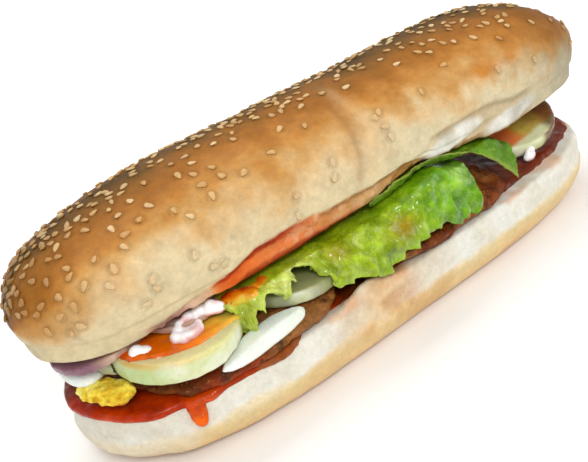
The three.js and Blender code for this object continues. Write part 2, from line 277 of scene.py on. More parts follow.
def pooled(name, balls, voxel, rounds):
    """One smooth puddle from many flattened drops that run together."""
    points = np.vstack([ball_points(*ball) for ball in balls])
    quads = grid_quads(BALL_ROWS, BALL_COLUMNS, around=True)
    faces = np.vstack([quads + number * BALL_ROWS * BALL_COLUMNS for number in range(len(balls))])
    return remeshed(mesh_object(name, points, faces, merge=0.001), voxel, rounds)


# ------------------------------------------------------------------ materials


class Surface:
    """A Principled material assembled from a few kinds of node."""

    def __init__(self, name, **sockets):
        self.material = bpy.data.materials.new(name)
        self.material.use_nodes = True
        self.tree = self.material.node_tree
        self.shader = self.tree.nodes["Principled BSDF"]
        for key, value in sockets.items():
            self.shader.inputs[key.replace("_", " ")].default_value = value
        self.place = self.node("TexCoord").outputs["Object"]

    def plug(self, node, key, value):
        if isinstance(value, bpy.types.NodeSocket):
            self.tree.links.new(value, node.inputs[key])
        else:
            node.inputs[key].default_value = value

    def node(self, kind, inputs=None, **settings):
        node = self.tree.nodes.new("ShaderNode" + kind)
        for key, value in settings.items():
            setattr(node, key, value)
        for key, value in (inputs or {}).items():
            self.plug(node, key, value)
        return node

    def noise(self, size, detail=3.0, roughness=0.55, scale=None, distortion=0.0):
        vector = self.place
        if scale:
            vector = self.node("Mapping", {"Vector": vector, "Scale": scale}).outputs["Vector"]
        inputs = {"Vector": vector, "Scale": 1 / (size * MM), "Detail": detail, "Roughness": roughness}
        return self.node("TexNoise", {**inputs, "Distortion": distortion}).outputs["Fac"]

    def spread(self, value, low=0.3, high=0.7, to_low=0.0, to_high=1.0):
        inputs = {"Value": value, "From Min": low, "From Max": high, "To Min": to_low, "To Max": to_high}
        return self.node("MapRange", inputs, clamp=True).outputs["Result"]

    def math(self, operation, a, b):
        return self.node("Math", {0: a, 1: b}, operation=operation).outputs[0]

    def times(self, a, b):
        return self.math("MULTIPLY", a, b)

    def stored(self, name, output="Fac"):
        return self.node("Attribute", attribute_name=name).outputs[output]

    def mixed(self, share, a, b):
        """Blends a colour, a socket or sRGB, towards an sRGB one."""
        first = a if isinstance(a, bpy.types.NodeSocket) else (*linear(a), 1)
        return self.node("Mix", {0: share, 6: first, 7: (*linear(b), 1)}, data_type="RGBA").outputs[2]

    def shaded(self, colour, value, low, high):
        """Multiplies a colour by low to high as value goes from 0 to 1."""
        grey = self.node("MapRange", {"Value": value, "To Min": low, "To Max": high})
        inputs = {0: colour, "Scale": grey.outputs["Result"]}
        return self.node("VectorMath", inputs, operation="SCALE").outputs["Vector"]

    def bumped(self, height, distance, strength=1.0, after=None):
        inputs = {"Height": height, "Distance": distance * MM, "Strength": strength}
        if after:
            inputs["Normal"] = after
        return self.node("Bump", inputs).outputs["Normal"]

    def wetted(self, share, size, depth):
        """A film of moisture over a share of the surface, with ripples of its own."""
        self.plug(self.shader, "Coat Weight", share)
        self.plug(self.shader, "Coat Normal", self.bumped(self.noise(size, detail=2), depth))

    def finish(self, colour, roughness, normal):
        for key, value in (("Base Color", colour), ("Roughness", roughness), ("Normal", normal)):
            self.plug(self.shader, key, value)
        return self.material


def bread_material(name, sheen, mottling):
    s = Surface(name, Specular_IOR_Level=sheen, Subsurface_Weight=0.05, Subsurface_Scale=0.003)
    crumb = s.stored("coarse")
    mottle = s.noise(5, detail=6, roughness=0.65)
    grain = s.noise(0.9, detail=4, roughness=0.7)
    blotch = s.noise(1.9, detail=4, roughness=0.6)
    colour = s.shaded(s.stored("tint", "Color"), s.spread(mottle, 0.25, 0.75), 1 - mottling, 1 + mottling)
    colour = s.shaded(colour, s.spread(blotch), 0.93, 1.07)
    colour = s.shaded(colour, s.spread(grain, 0.2, 0.8), 0.93, 1.06)
    pores = s.times(s.spread(s.noise(0.8, detail=3, roughness=0.6), 0.56, 0.72), crumb)
    colour = s.shaded(colour, pores, 1.0, 0.86)
    crust = s.math("ADD", s.times(grain, 0.5), s.times(s.noise(2.6, detail=4), 0.9))
    open_crumb = s.math("SUBTRACT", s.noise(1.3, detail=5, roughness=0.65), s.times(pores, 0.3))
    height = s.node("Mix", {0: crumb, 2: crust, 3: s.times(open_crumb, 1.6)}).outputs[0]
    roughness = s.math("ADD", s.spread(mottle, 0.25, 0.75, 0.42, 0.58), s.times(crumb, 0.28))
    return s.finish(colour, roughness, s.bumped(height, 0.3, 0.85))


def seed_material():
    s = Surface("sesame", Specular_IOR_Level=0.3, Subsurface_Weight=0.15, Subsurface_Scale=0.001)
    streak = s.noise(0.6, detail=3)
    colour = s.shaded(s.stored("tint", "Color"), s.spread(streak), 0.84, 1.08)
    return s.finish(colour, s.spread(streak, 0.3, 0.7, 0.38, 0.55), s.bumped(streak, 0.08, 0.6))


def kebab_material():
    s = Surface("fried_mince", Specular_IOR_Level=0.15)
    lump = s.noise(2.4, detail=5, roughness=0.7)
    colour = s.shaded(s.stored("tint", "Color"), s.spread(lump, 0.3, 0.72), 0.55, 1.35)
    fleck = s.spread(s.noise(1.1, detail=2), 0.62, 0.72)
    colour = s.mixed(s.times(fleck, 0.5), colour, (190, 130, 78))
    char = s.spread(s.noise(3.6, detail=4), 0.56, 0.68)
    colour = s.mixed(s.times(char, 0.7), colour, (46, 22, 10))
    grease = s.spread(s.noise(5, detail=2), 0.42, 0.6, 0.62, 0.28)
    return s.finish(colour, grease, s.bumped(lump, 0.9, 0.8, s.bumped(s.noise(0.7, detail=4), 0.3, 0.6)))


DAMP = {"Subsurface_Scale": 0.002, "Coat_Roughness": 0.05}


def wet_material(name, roughness, wet, level, subsurface, size, low, high, bump):
    """Something moist: a soft body colour under patches of wet shine."""
    s = Surface(name, Specular_IOR_Level=level, **DAMP, Subsurface_Weight=subsurface)
    patch = s.noise(size, detail=5, roughness=0.6)
    fine = s.noise(0.7, detail=3)
    colour = s.shaded(s.stored("tint", "Color"), s.spread(patch), low, high)
    colour = s.shaded(colour, s.spread(fine, 0.25, 0.75), 0.96, 1.04)
    s.wetted(s.spread(s.noise(2.6, detail=2), 0.46, 0.56, 0.0, wet), 2.0, 0.3)
    height = s.math("ADD", patch, s.times(fine, 0.35))
    rough = s.spread(patch, 0.3, 0.7, roughness * 0.8, roughness * 1.3)
    return s.finish(colour, rough, s.bumped(height, bump, 0.7))


def leaf_material(name, wet):
    s = Surface(name, Specular_IOR_Level=0.15, **DAMP, Subsurface_Weight=0.1)
    patch = s.noise(5, detail=4, roughness=0.6)
    fine = s.noise(1.2, detail=4, roughness=0.6)
    colour = s.shaded(s.stored("tint", "Color"), s.spread(patch), 0.76, 1.26)
    colour = s.shaded(colour, s.spread(fine), 0.9, 1.1)
    rib = s.noise(3.4, detail=3, distortion=1.2, scale=(1.0, 0.6, 0.35))
    vein = s.times(s.spread(rib, 0.47, 0.5), s.spread(rib, 0.5, 0.53, 1.0, 0.0))
    colour = s.mixed(s.times(vein, 0.24), colour, (186, 214, 80))
    s.wetted(s.spread(s.noise(3.0, detail=2), 0.45, 0.55, 0.0, wet), 2.2, 0.45)
    height = s.math("ADD", s.noise(2.2, detail=4, roughness=0.6), s.times(vein, -0.3))
    return s.finish(colour, s.spread(patch, 0.3, 0.7, 0.3, 0.45), s.bumped(height, 0.7, 0.8))


def floor_material():
    s = Surface("pale_floor", Specular_IOR_Level=0.2)
    cloud = s.noise(60, detail=4)
    colour = s.mixed(cloud, (246, 245, 243), (250, 249, 248))
    return s.finish(colour, s.spread(cloud, 0.3, 0.7, 0.6, 0.7), s.bumped(s.noise(1.2, detail=3), 0.02, 0.3))


CRUST = bread_material("baked_crust", 0.1, 0.16)
HEEL_BREAD = bread_material("pale_bread", 0.1, 0.07)
SESAME = seed_material()
MINCE = kebab_material()
KETCHUP = wet_material("ketchup", 0.32, 0.4, 0.1, 0.05, 3.0, 0.72, 1.2, 0.4)
ORANGE_SAUCE = wet_material("orange_sauce", 0.22, 0.8, 0.2, 0.15, 3.5, 0.86, 1.12, 0.2)
MAYO = wet_material("mayonnaise", 0.25, 0.5, 0.4, 0.2, 2.4, 0.96, 1.02, 0.25)
EGG_WHITE = wet_material("boiled_egg_white", 0.34, 0.3, 0.4, 0.25, 4.0, 0.96, 1.02, 0.15)
YOLK = wet_material("boiled_yolk", 0.7, 0.0, 0.1, 0.15, 1.1, 0.82, 1.12, 0.5)
CUCUMBER = wet_material("cucumber_flesh", 0.3, 0.4, 0.3, 0.2, 1.8, 0.95, 1.04, 0.2)
ONION = wet_material("purple_onion", 0.32, 0.5, 0.25, 0.15, 1.6, 0.88, 1.1, 0.15)
LEAF = leaf_material("lettuce_leaf", 1.0)
LEAF_DARK = leaf_material("lettuce_leaf_dark", 0.15)

# ------------------------------------------------------------------ the roll's sizes, millimetres

TOP_LENGTH, TOP_WIDTH, TOP_POWER = 107.5, 30.0, 6.3
TOP_EQUATOR, TOP_HEIGHT = 11.7, 31.3
END_FULLNESS, CROWN_RISE = 0.55, 0.035
TOP_PLACE = np.array([0.6, 0.4, 39.9])
TOP_TILT = math.radians(-3.7)
LIP_Z = [0, 0.7, 4.3, 5.1, 7.7, 11.7]
LIP_INSET = [3.2, 2.0, 1.5, 0.7, 0.2, 0.0]
LIP_ROWS = [(0.7, 2), (4.3, 8), (5.1, 3), (TOP_EQUATOR, 10)]
UNDER_ROWS, DOME_ROWS = 8, 130

HEEL_LENGTH, HEEL_WIDTH, HEEL_POWER, HEEL_Y = 102.6, 33.3, 4.7, -2.3
HEEL_TOP, HEEL_ROUND = 20.0, 12.0
HEEL_END_INSET, HEEL_SIDE_INSET = 16.0, 8.5
HUMP_X, HUMP_RISE, HUMP_WIDTH = -20.5, 4.8, 8.5


def half_width(s, width, power):
    """Half width of a loaf at a share of its half length."""
    return width * np.sqrt(np.clip(1 - np.abs(s) ** power, 0, 1))


def outline_stations(length, width, power, count):
    """Shares of the half length, spaced evenly along the outline from end to end."""
    angle = np.linspace(math.pi, 0, 20001)
    x = length * np.sign(np.cos(angle)) * np.abs(np.cos(angle)) ** (2 / power)
    run = path_run(np.stack([x, width * np.sin(angle)], -1))
    return np.interp(np.linspace(0, run[-1], count), run, x)[:, None] / length


def leaned(points):
    """Points or directions of the upper half, leaning as it lies."""
    c, s = math.cos(TOP_TILT), math.sin(TOP_TILT)
    x, y, z = points.T
    return np.stack([x, y * c - z * s, y * s + z * c], -1)


def edge_rise(x, y):
    """How far the cut face's edge lies above its level at a place of the upper half."""
    torn = 3.3 * bell(x - 13, 12.5) * smooth(-y, 10, 27)
    sag = 2.2 * smooth(-x, 70, 98) + 1.9 * smooth(x, 36, 52)
    return torn - sag * smooth(-y, -10, 8)


def top_sections(stations=330):
    """Cross sections of the upper half: half the cut face, one side, the dome, and back again."""
    s = outline_stations(TOP_LENGTH, TOP_WIDTH, TOP_POWER, stations)
    side_z = np.zeros(1)
    for level, rows in LIP_ROWS:
        side_z = np.append(side_z, np.linspace(side_z[-1], level, rows + 1)[1:])
    inset = np.interp(side_z, LIP_Z, LIP_INSET)
    side_x = s * (TOP_LENGTH - inset)
    side_y = half_width(s, TOP_WIDTH - inset, TOP_POWER)
    side_z = np.broadcast_to(side_z, side_x.shape)
    under_y = side_y[:, :1] * np.linspace(0, 1, UNDER_ROWS, endpoint=False)
    under_x = np.broadcast_to(side_x[:, :1], under_y.shape)
    angle = np.radians(np.linspace(0, 180, DOME_ROWS + 2))[1:-1]
    least = np.abs(s) ** (1 / END_FULLNESS)
    share = np.sqrt(np.clip(1 - (1 - least**2) * np.sin(angle) ** 2, 1e-12, 1))
    spent = np.clip(least / share, 0, 1) ** (END_FULLNESS * TOP_POWER)
    dome_y = -np.sign(np.cos(angle)) * TOP_WIDTH * share * np.sqrt(1 - spent)
    dome_z = TOP_EQUATOR + (TOP_HEIGHT - TOP_EQUATOR) * np.sqrt(1 - least**2) * np.sin(angle)
    dome_x = np.broadcast_to(s * TOP_LENGTH, dome_y.shape)
    x = np.hstack([under_x, side_x, dome_x, side_x[:, ::-1], under_x[:, :0:-1]])
    y = np.hstack([-under_y, -side_y, dome_y, side_y[:, ::-1], under_y[:, :0:-1]])
    z = np.hstack([0 * under_y, side_z, dome_z, side_z[:, ::-1], 0 * under_y[:, :0:-1]])
    z = z + fade(z, 0, 9) * edge_rise(x, y)
    crown = CROWN_RISE * x / TOP_LENGTH + 0.09 * bell(x - 76, 13) - 0.24 * smooth(x, 88, 106)
    z = z + np.maximum(z - TOP_EQUATOR, 0) * (crown - 0.05 * bell(x - 22, 22))
    x = x + 1.3 * smooth(-x, 88, 107) * smooth(z, 7, 15)
    return np.stack([x, y, z], -1)


def crease_share(q):
    """How far the crust is pinched at the long crease, and the distance from its line."""
    x, y, z = q.T
    return smooth(-y, 0, 15) * smooth(z, 4, 11), x + 13 - 0.3 * z - 0.5 * noise(q, 7, 41)


def fold_share(q, front):
    """Share of the fold of crust that hangs over at the front right, and height over its edge."""
    x, _, z = q.T
    return window(x, 13, 21, 56, 70) * front, z - (8.9 - 2.6 * smooth(x, 42, 56))


# height of the bare crumb along the front
STRIP_X = [-100, -90, -78, -70, -64, -60, -57, -50, -36, -29, -18, -8, 1, 6, 13, 22, 34, 46, 62, 74]
STRIP_TOP = [4, 1, 1.8, 2.6, 3.6, 4.3, 5, 7.8, 8, 7.1, 6.4, 5.8, 5.9, 6.1, 5, 4.4, 2.2, 0.6, 1, 4]
# middle along the roll and up, then half length and half height
LOBES = [((26.5, 5.3), (13.0, 3.2)), ((53.0, 1.8), (13.5, 3.0))]
# place along the roll, lowest and highest point, depth
PLEATS = [(-50.5, 17, 24, 0.5), (-46.5, 15, 21, 0.45), (-53.5, 18, 22, 0.3), (9, 17, 23, 0.3)]
SPECK = (-54.6, -28.6, 13.6)


def torn_share(q):
    """1 where the crumb shows bare under the crust, falling to 0 at the front's two ends."""
    return np.where(q[:, 1] < 0, window(q[:, 0], -88, -78, 54, 66), 1.0)


def strip_share(q):
    """Share of the way up the bare crumb under the crust, over 1 on the crust."""
    x, y, z = q.T
    along = stretched(q, 1, 0, 0)
    top = np.interp(x, STRIP_X, STRIP_TOP) + 0.35 * noise(along, 5, 9)
    top = np.where(y < 0, top, 4.3 + 0.5 * noise(along, 6, 9))
    low = edge_rise(x, y)
    return (z - low) / np.maximum(top - low, 0.8)


def lobe_share(q):
    """Two soft folds of white crumb that hang out under the crust at the front right."""
    x, y, z = q.T
    share = np.zeros(len(q))
    for (middle, level), (length, height) in LOBES:
        lift = level + 0.06 * (x - middle) + 0.4 * noise(stretched(q, 1, 0, 0), 5, 43)
        reach = np.sqrt(((x - middle) / length) ** 2 + ((z - lift) / height) ** 2)
        share = np.maximum(share, fade(reach, 0.7, 1.15))
    return share * (y < -8)


def top_relief(q, _):
    x, y, z = q.T
    height = 0.5 * fractal(q, 34, 2, 3) + 0.2 * fractal(q, 9, 2, 5)
    share, away = crease_share(q)
    height -= share * (0.9 * bell(away, 5.5) + 0.35 * bell(away + 0.4, 1.4) - 0.35 * bell(away - 3.4, 2.4))
    front = smooth(-y, 8, 22)
    lobe = lobe_share(q)
    fold, above = fold_share(q, front)
    height += 0.9 * lobe - 0.9 * fold * bell(above, 0.9)
    strip = strip_share(q)
    inside = front * window(strip, 0.0, 0.12, 0.82, 1.0) * (1 - lobe)
    height -= 0.6 * inside * (window(x, -60, -52, 14, 24) - torn_share(q) * fractal(q, 2.4, 3, 21))
    wrinkle = noise(stretched(q, 1, 0.2, 0.16), 2.6, 12)
    height += 0.1 * front * fade(z, 15, 24) * smooth(strip, 1, 1.3) * wrinkle
    for place, low, high, deep in PLEATS:
        inside = window(z, low - 1.5, low + 1, high - 1, high + 1.5)
        height -= deep * front * inside * bell(x - place - 0.12 * (z - low), 0.8)
    return height - 0.6 * spot(q, SPECK, 0.9)


def loaf_angle(q):
    """Degrees round the loaf: 0 at the front, 90 on the crown, 180 at the back."""
    angle = np.degrees(np.arctan2(q[:, 2] - 7, -q[:, 1]))
    return np.where(angle < -90, angle + 360, angle)


def bake_angle(q):
    """The angle, counted from the front, at which the crust is as dark as it is here."""
    angle = loaf_angle(q)
    return np.minimum(angle, 108) - 1.3 * np.maximum(angle - 108, 0)


# crust colours by bake angle, and crumb colours along the front
BAKE = [
    (-20, (198, 182, 142)), (0, (210, 194, 154)), (14, (210, 189, 148)), (25, (205, 170, 120)),
    (35, (192, 146, 86)), (45, (180, 124, 58)), (55, (164, 106, 42)), (65, (150, 94, 30)),
    (78, (138, 88, 28)), (92, (112, 74, 20)), (106, (84, 56, 12)), (116, (56, 42, 8)), (130, (50, 36, 8)),
]
STRIP = [
    (-100, (196, 168, 130)), (-86, (186, 152, 122)), (-79, (150, 104, 92)), (-74, (160, 118, 104)),
    (-70, (206, 172, 142)), (-66, (212, 170, 130)), (-63, (204, 106, 46)), (-57, (208, 90, 26)),
    (-48, (216, 118, 58)), (-36, (214, 122, 68)), (-27, (206, 132, 72)), (-14, (197, 148, 92)),
    (-5, (194, 156, 102)), (2, (170, 122, 64)), (10, (148, 110, 48)), (20, (156, 124, 66)),
    (44, (170, 136, 98)), (74, (168, 130, 84)),
]


def crust_colour(q, front):
    """The crust, dark over the crown and pale low down, with its crease, stain, speck and fold; painted shade
    makes it greyer and darker towards the right end, darker in the crease and along the fold's edge, and a
    painted highlight runs beside the crease.
    """
    x = q[:, 0]
    angle = bake_angle(q) + 7 * fractal(q, 17, 2, 31) + 7 * fractal(q, 6, 3, 37)
    angle += (20 + 14 * fade(angle, 0, 24)) * smooth(-x, 86, 106) * fade(angle, 60, 80)
    angle += 5 * smooth(x, 0, 30) + 18 * smooth(x, 48, 80)
    colour = layered(
        ramp(angle, BAKE),
        # Greyer cream towards the right end: painted shade where the light falls off.
        ((168, 152, 118), 0.6 * smooth(x, 36, 80) * fade(angle, 22, 50)),
        ((204, 198, 168), 0.4 * smooth(x, -6, 14) * fade(angle, 18, 34)),
    )
    crease, away = crease_share(q)
    wander = 1.2 * noise(q, 5, 45)
    stain = np.maximum(spot(q, (48, -27, 18.6), 3.0, wander, x=0.42), spot(q, (58.5, -27, 18.6), 2.7, wander))
    fold, above = fold_share(q, front)
    return layered(
        # Darker towards the right end: painted shade where the light falls off.
        darker(colour, 0.33 * smooth(x, 62, 92)),
        # Darker in the crease: painted shade; the paler line beside it: painted highlight.
        ((140, 92, 46), crease * (0.32 * bell(away + 0.4, 1.3) + 0.15 * bell(away, 4))),
        ((224, 190, 140), 0.25 * crease * bell(away - 3.8, 2.0)),
        ((190, 112, 8), 0.68 * stain),
        ((104, 92, 78), 0.85 * spot(q, SPECK, 0.95)),
        # Darker along the fold's hanging edge: painted shade.
        ((124, 100, 66), 0.6 * fold * bell(above, 0.9)),
        ((186, 164, 128), 0.7 * fold * fade(above, -1.2, -0.3)),
    )


def crumb_colour(q, strip, front):
    """The bare crumb under the crust, with sauce along the front and a painted shadow line under the crust's
    edge.
    """
    x = q[:, 0] + 3 * noise(q, 6, 51)
    upper, lower = smooth(strip, 0.62, 0.8), fade(strip, 0.08, 0.3)
    sauced_and_shaded = layered(
        ramp(x, STRIP),
        ((220, 176, 134), 0.45 * smooth(fractal(q, 2.4, 3, 55), 0.15, 0.7) * smooth(x, -52, -30)),
        # Along the top, under the crust's edge: painted shadow, dark red on the left and brown-grey to the
        # right.
        ((150, 32, 2), 0.9 * upper * window(x, -66, -60, -42, -28)),
        ((150, 104, 66), 0.55 * upper * window(x, -34, -20, 6, 20)),
        ((140, 40, 4), 0.9 * lower * window(x, -60, -50, -18, -6)),
        ((142, 84, 38), 0.5 * lower * window(x, -12, 0, 16, 26)),
    )
    plain = ramp(fractal(q, 8, 3, 53), [(-1, (184, 138, 88)), (0, (202, 172, 126)), (1, (210, 190, 154))])
    return blend(plain, sauced_and_shaded, front)


def top_colour(q):
    front = smooth(-q[:, 1], 8, 20)
    strip, lobe = strip_share(q), lobe_share(q)
    crumb = fade(strip, 0.9, 1.08) * torn_share(q)
    white = ramp(fractal(q, 5, 2, 59), [(-1, (192, 188, 172)), (0, (216, 213, 200)), (1, (228, 226, 216))])
    white = darker(white, 0.16 * smooth(q[:, 0], 44, 60))
    colour = blend(crust_colour(q, front), crumb_colour(q, strip, front), crumb)
    return blend(colour, white, 0.95 * lobe), np.maximum(0.55 * crumb, 0.35 * lobe)


RING_REACH, RING_WIDTH, RING_DARK = 1.45, 0.4, 0.2


def ringed(colour, q, seeds):
    """The crust a little browner in a ring round each seed: partly browner crust, partly painted shade where
    the seed sits in it.
    """
    near = np.full(len(q), 9.0)
    high = q[:, 2] > 5
    near[high] = np.linalg.norm(q[high] - seeds[nearest(seeds, q[high])], axis=1)
    return darker(colour, RING_DARK * bell(near - RING_REACH, RING_WIDTH))


# ------------------------------------------------------------------ sesame seeds


SEED_COUNT, SEED_TRIES = 600, 9000
WIDE_GAP, NARROW_GAP, WIDE_SHARE = 2.4, 1.6, 0.6
SEED_LENGTH, SEED_SPREAD, SEED_LIFT = 2.6, 0.2, 0.2
SEED_TINTS = [(0, (196, 152, 92)), (0.5, (214, 178, 120)), (1, (230, 204, 156))]


def seed_places(q):
    """Points on the crust for the seeds: thick on the back of the crown and at the left end."""
    rng = np.random.default_rng(11)
    x, _, z = q.T
    angle = loaf_angle(q)
    density = 0.05 + 0.15 * smooth(angle, 28, 60) + 1.1 * smooth(angle, 60, 84)
    density += 0.1 * smooth(-x, 20, 40)
    density *= 1 - 0.35 * smooth(angle, 120, 150)
    density *= 1 - 0.93 * smooth(angle, 160, 176)
    density = np.maximum(density, 0.5 * smooth(-x, 86, 100) * (z > 7))
    density = np.maximum(density, 0.3 * smooth(x, 80, 98) * (z > 10))
    density *= 0.35 + 1.3 * smooth(fractal(q, 13, 2, 71), -0.5, 0.7)
    density *= (z > 10) | (x < -30) & (z > 7)
    order = rng.choice(len(q), size=min(SEED_TRIES, len(q)), replace=False, p=density / density.sum())
    chosen = []
    for i in order:
        gap = WIDE_GAP if rng.random() < WIDE_SHARE else NARROW_GAP
        if chosen and np.min(np.linalg.norm(q[chosen] - q[i], axis=1)) < gap:
            continue
        chosen.append(i)
        if len(chosen) == SEED_COUNT:
            break
    return np.array(chosen)


def seed_body(rows=7, columns=9):
    """A flat teardrop, 1 long: blunt at one end and pointed at the other."""
    t = np.linspace(0, 1, rows)
    x = -0.5 * np.cos(math.pi * t)
    half = np.sin(math.pi * t) ** 0.8 * (0.31 - 0.13 * x / 0.5)
    turn = np.linspace(0, 2 * math.pi, columns, endpoint=False)
    xs = np.repeat(x[:, None], columns, 1)
    ys = half[:, None] * np.cos(turn)
    zs = 0.44 * half[:, None] * np.sin(turn)
    return np.stack([xs, ys, zs], -1).reshape(-1, 3), grid_quads(rows, columns, around=True)


def unit(vector):
    return vector / np.linalg.norm(vector)


def sesame_piece(places, normals, crust):
    """All the seeds as one mesh, each lying nearly flat and tinted by the crust under it."""
    rng = np.random.default_rng(23)
    body, quads = seed_body()
    points, faces, tints = [], [], []
    for number, (place, normal) in enumerate(zip(places, normals)):
        side = unit(np.cross(normal, rng.normal(size=3)))
        lean = unit(side + normal * rng.normal(0, 0.12))
        across = unit(np.cross(normal, lean))
        axes = np.array([lean, across, np.cross(lean, across)])
        size = rng.normal(SEED_LENGTH, SEED_SPREAD) * np.array([1, rng.normal(1, 0.08), 1.0])
        points.append(place + normal * SEED_LIFT + (body * size) @ axes)
        faces.append(quads + number * len(body))
        pale = ramp(rng.random(), SEED_TINTS)
        share = rng.uniform(0.15, 0.5) + 0.4 * smooth(place[2], 58, 68)
        tints.append(np.tile(pale * share + crust[number] * (1 - share), (len(body), 1)))
    piece = mesh_object("sesame_seeds", np.vstack(points), np.vstack(faces), 0.001, np.vstack(tints))
    finish_piece(piece, None, SESAME, "crust")


def loaf_piece(name, sections):
    """A closed piece from its cross sections."""
    quads = grid_quads(*sections.shape[:2], around=True)
    return mesh_object(name, sections.reshape(-1, 3), quads)


def build_top():
    piece = loaf_piece("top_roll", top_sections())
    q = swell(piece, top_relief)
    normals = normals_of(piece)
    chosen = seed_places(q)
    colour, crumb = top_colour(q)
    world = leaned(q) + TOP_PLACE
    move_points(piece, world)
    finish_piece(piece, ringed(colour, q, q[chosen]), CRUST, "crust", "top_bun", rough=crumb)
    sesame_piece(world[chosen], leaned(normals[chosen]), colour[chosen])


# ------------------------------------------------------------------ the lower half


def heel_profile():
    """Side rows of the lower half from its flat underside up: end inset, side inset, z, rise."""
    rows = []
    for degrees in np.linspace(0, 90, 19):
        share = 1 - math.sin(math.radians(degrees))
        z = HEEL_ROUND * (1 - math.cos(math.radians(degrees)))
        rows.append((HEEL_END_INSET * share, HEEL_SIDE_INSET * share, z, 0.0))
    z = np.concatenate([np.linspace(12, 17.6, 9)[1:], np.linspace(17.6, 19.5, 5)[1:]])
    inset = np.interp(z, [12, 17.6, 19.5], [0, 0.2, 1.0])
    rise = np.interp(z, [12, 17.6, 19.5], [0, 0.3, 1.0])
    rows += [(i, i, level, lift) for i, level, lift in zip(inset, z, rise)]
    rows += [(1.7, 1.7, 19.85, 1.0), (2.6, 2.6, 20.0, 0.95), (4.2, 4.2, 20.0, 0.5), (6.0, 6.0, 20.0, 0.0)]
    return np.array(rows)


def heel_sheets(profile, stations, across):
    """x, y and z of the lower half's front side, top and back side, at each station."""
    end_inset, side_inset, level, rise = profile.T
    s = outline_stations(HEEL_LENGTH, HEEL_WIDTH, HEEL_POWER, stations)
    x = s * (HEEL_LENGTH - end_inset)
    y = half_width(s, HEEL_WIDTH - side_inset, HEEL_POWER)
    z = np.broadcast_to(level, x.shape)
    hump = rise * HUMP_RISE * bell(x - HUMP_X, HUMP_WIDTH)
    top_y = -y[:, -1:] * np.linspace(1, -1, across + 2)[1:-1]
    top_x = np.broadcast_to(x[:, -1:], top_y.shape)
    top_z = np.full(top_y.shape, HEEL_TOP)
    return [x, top_x, x[:, ::-1]], [-y, top_y, y[:, ::-1]], [z + hump, top_z, z[:, ::-1]]


def heel_sections(stations=300):
    xs, ys, zs = heel_sheets(heel_profile(), stations, 24)
    ys.append(-ys[0][:, :1] * np.linspace(1, -1, 14)[1:-1])
    xs.append(np.broadcast_to(xs[0][:, :1], ys[-1].shape))
    zs.append(np.zeros(ys[-1].shape))
    return np.stack([np.hstack(xs), np.hstack(ys) + HEEL_Y, np.hstack(zs)], -1)


def heel_relief(p, normals):
    x, y, z = p.T
    up = normals[:, 2]
    side = smooth(z, 0.8, 4) * (1 - 0.7 * (up > 0.8))
    height = side * (0.4 * fractal(p, 30, 2, 61) + 0.18 * fractal(p, 8, 2, 63))
    pleat = np.minimum(noise(stretched(p, 1, 1, 0.12), 4.2, 65), 0.3)
    ends = 0.25 + 0.75 * smooth(-x, 60, 90)
    height += side * 0.5 * ends * pleat * (1 - 0.5 * smooth(z, 15, 19))
    level = crust_level(p)
    height -= side * 0.45 * smooth(z, level - 0.4, level + 0.6) * (up < 0.9)
    height += smooth(z, level, level + 1.2) * 0.16 * fractal(p, 1.8, 3, 67)
    shelf = (y < 0) * bell(x - HUMP_X, 11)
    return height - 0.5 * shelf * bell(z - 15.2 - 0.1 * (x - HUMP_X), 0.8) * side


def crust_level(p):
    """Height at which the lower half's crust ends and its bare white side begins."""
    flat = stretched(p, 1, 1, 0)
    return 11.6 + 1.3 * noise(flat, 16, 69) + 0.6 * noise(flat, 5, 70)


HEEL_CRUST = [
    (-2, (214, 170, 116)), (1.5, (230, 191, 137)), (5, (226, 194, 140)), (9, (219, 194, 142)),
    (12, (226, 210, 174)),
]


def heel_colour(p, normals):
    x, y, z = p.T
    level = crust_level(p)
    crust = layered(
        ramp(z + 1.4 * fractal(p, 12, 3, 73), HEEL_CRUST),
        ((206, 158, 100), 0.6 * smooth(fractal(p, 22, 2, 75), 0.15, 0.7) * smooth(x, -95, 40)),
        ((222, 211, 188), 0.75 * smooth(-x + 4 * noise(p, 9, 72), 80, 91)),
    )
    crumb = ramp(fractal(p, 9, 3, 77), [(-1, (212, 205, 187)), (0, (222, 218, 203)), (1, (228, 226, 216))])
    bare = smooth(z, level - 0.5, level + 0.7)
    hump = (y < -20) * bell(x + 15 + 3 * noise(p, 8, 74), 15) * smooth(z, 5, 11)
    tan = ramp(fractal(p, 5, 3, 76), [(-0.8, (196, 142, 84)), (0, (216, 172, 112)), (0.9, (228, 200, 156))])
    brim = smooth(fractal(p, 7, 2, 79), 0.0, 0.6) * smooth(z, 18.2, 19.6)
    colour = layered(
        blend(blend(crust, crumb, bare), tan, 0.8 * hump),
        ((212, 146, 92), 0.5 * brim * (y < 0)),
        ((206, 164, 112), smooth(normals[:, 2], -0.6, -0.95)),
    )
    return colour, 0.55 * bare


def build_heel():
    piece = loaf_piece("lower_roll", heel_sections())
    points = swell(piece, heel_relief)
    points[:, 2] = np.where(points[:, 2] < 0.3, np.maximum(points[:, 2], 0), points[:, 2])
    move_points(piece, points)
    colour, crumb = heel_colour(points, normals_of(piece))
    finish_piece(piece, colour, HEEL_BREAD, "heel", "bottom_bun", rough=crumb)


# ------------------------------------------------------------------ ketchup

OVERFLOW_X = [
    -104, -102, -101, -98, -94, -90, -87, -84.5, -82, -75, -73, -70, -64, -60, -56, -53, -50, -47, -43, 40,
    56, 70, 82, 88, 94, 103,
]
OVERFLOW = [
    1.4, 1.1, 0.5, 0.2, 0.5, 1.0, 1.0, 0.5, -0.1, 1.4, 0.9, 0.2, 0.0, 0.4, 0.9, 1.0, 0.4, -1.2, -4.5, -5.5,
    -5.8, -5.6, -4.8, -3.4, -1.6, -1.2,
]
DRIP_X, DRIP_RUN, DRIP_WIDTH = -79.5, 6.1, 2.2
BRIM_Z, LOWEST_Z, SIDE_ROWS, TOP_ROWS = 19.2, 7, 52, 32


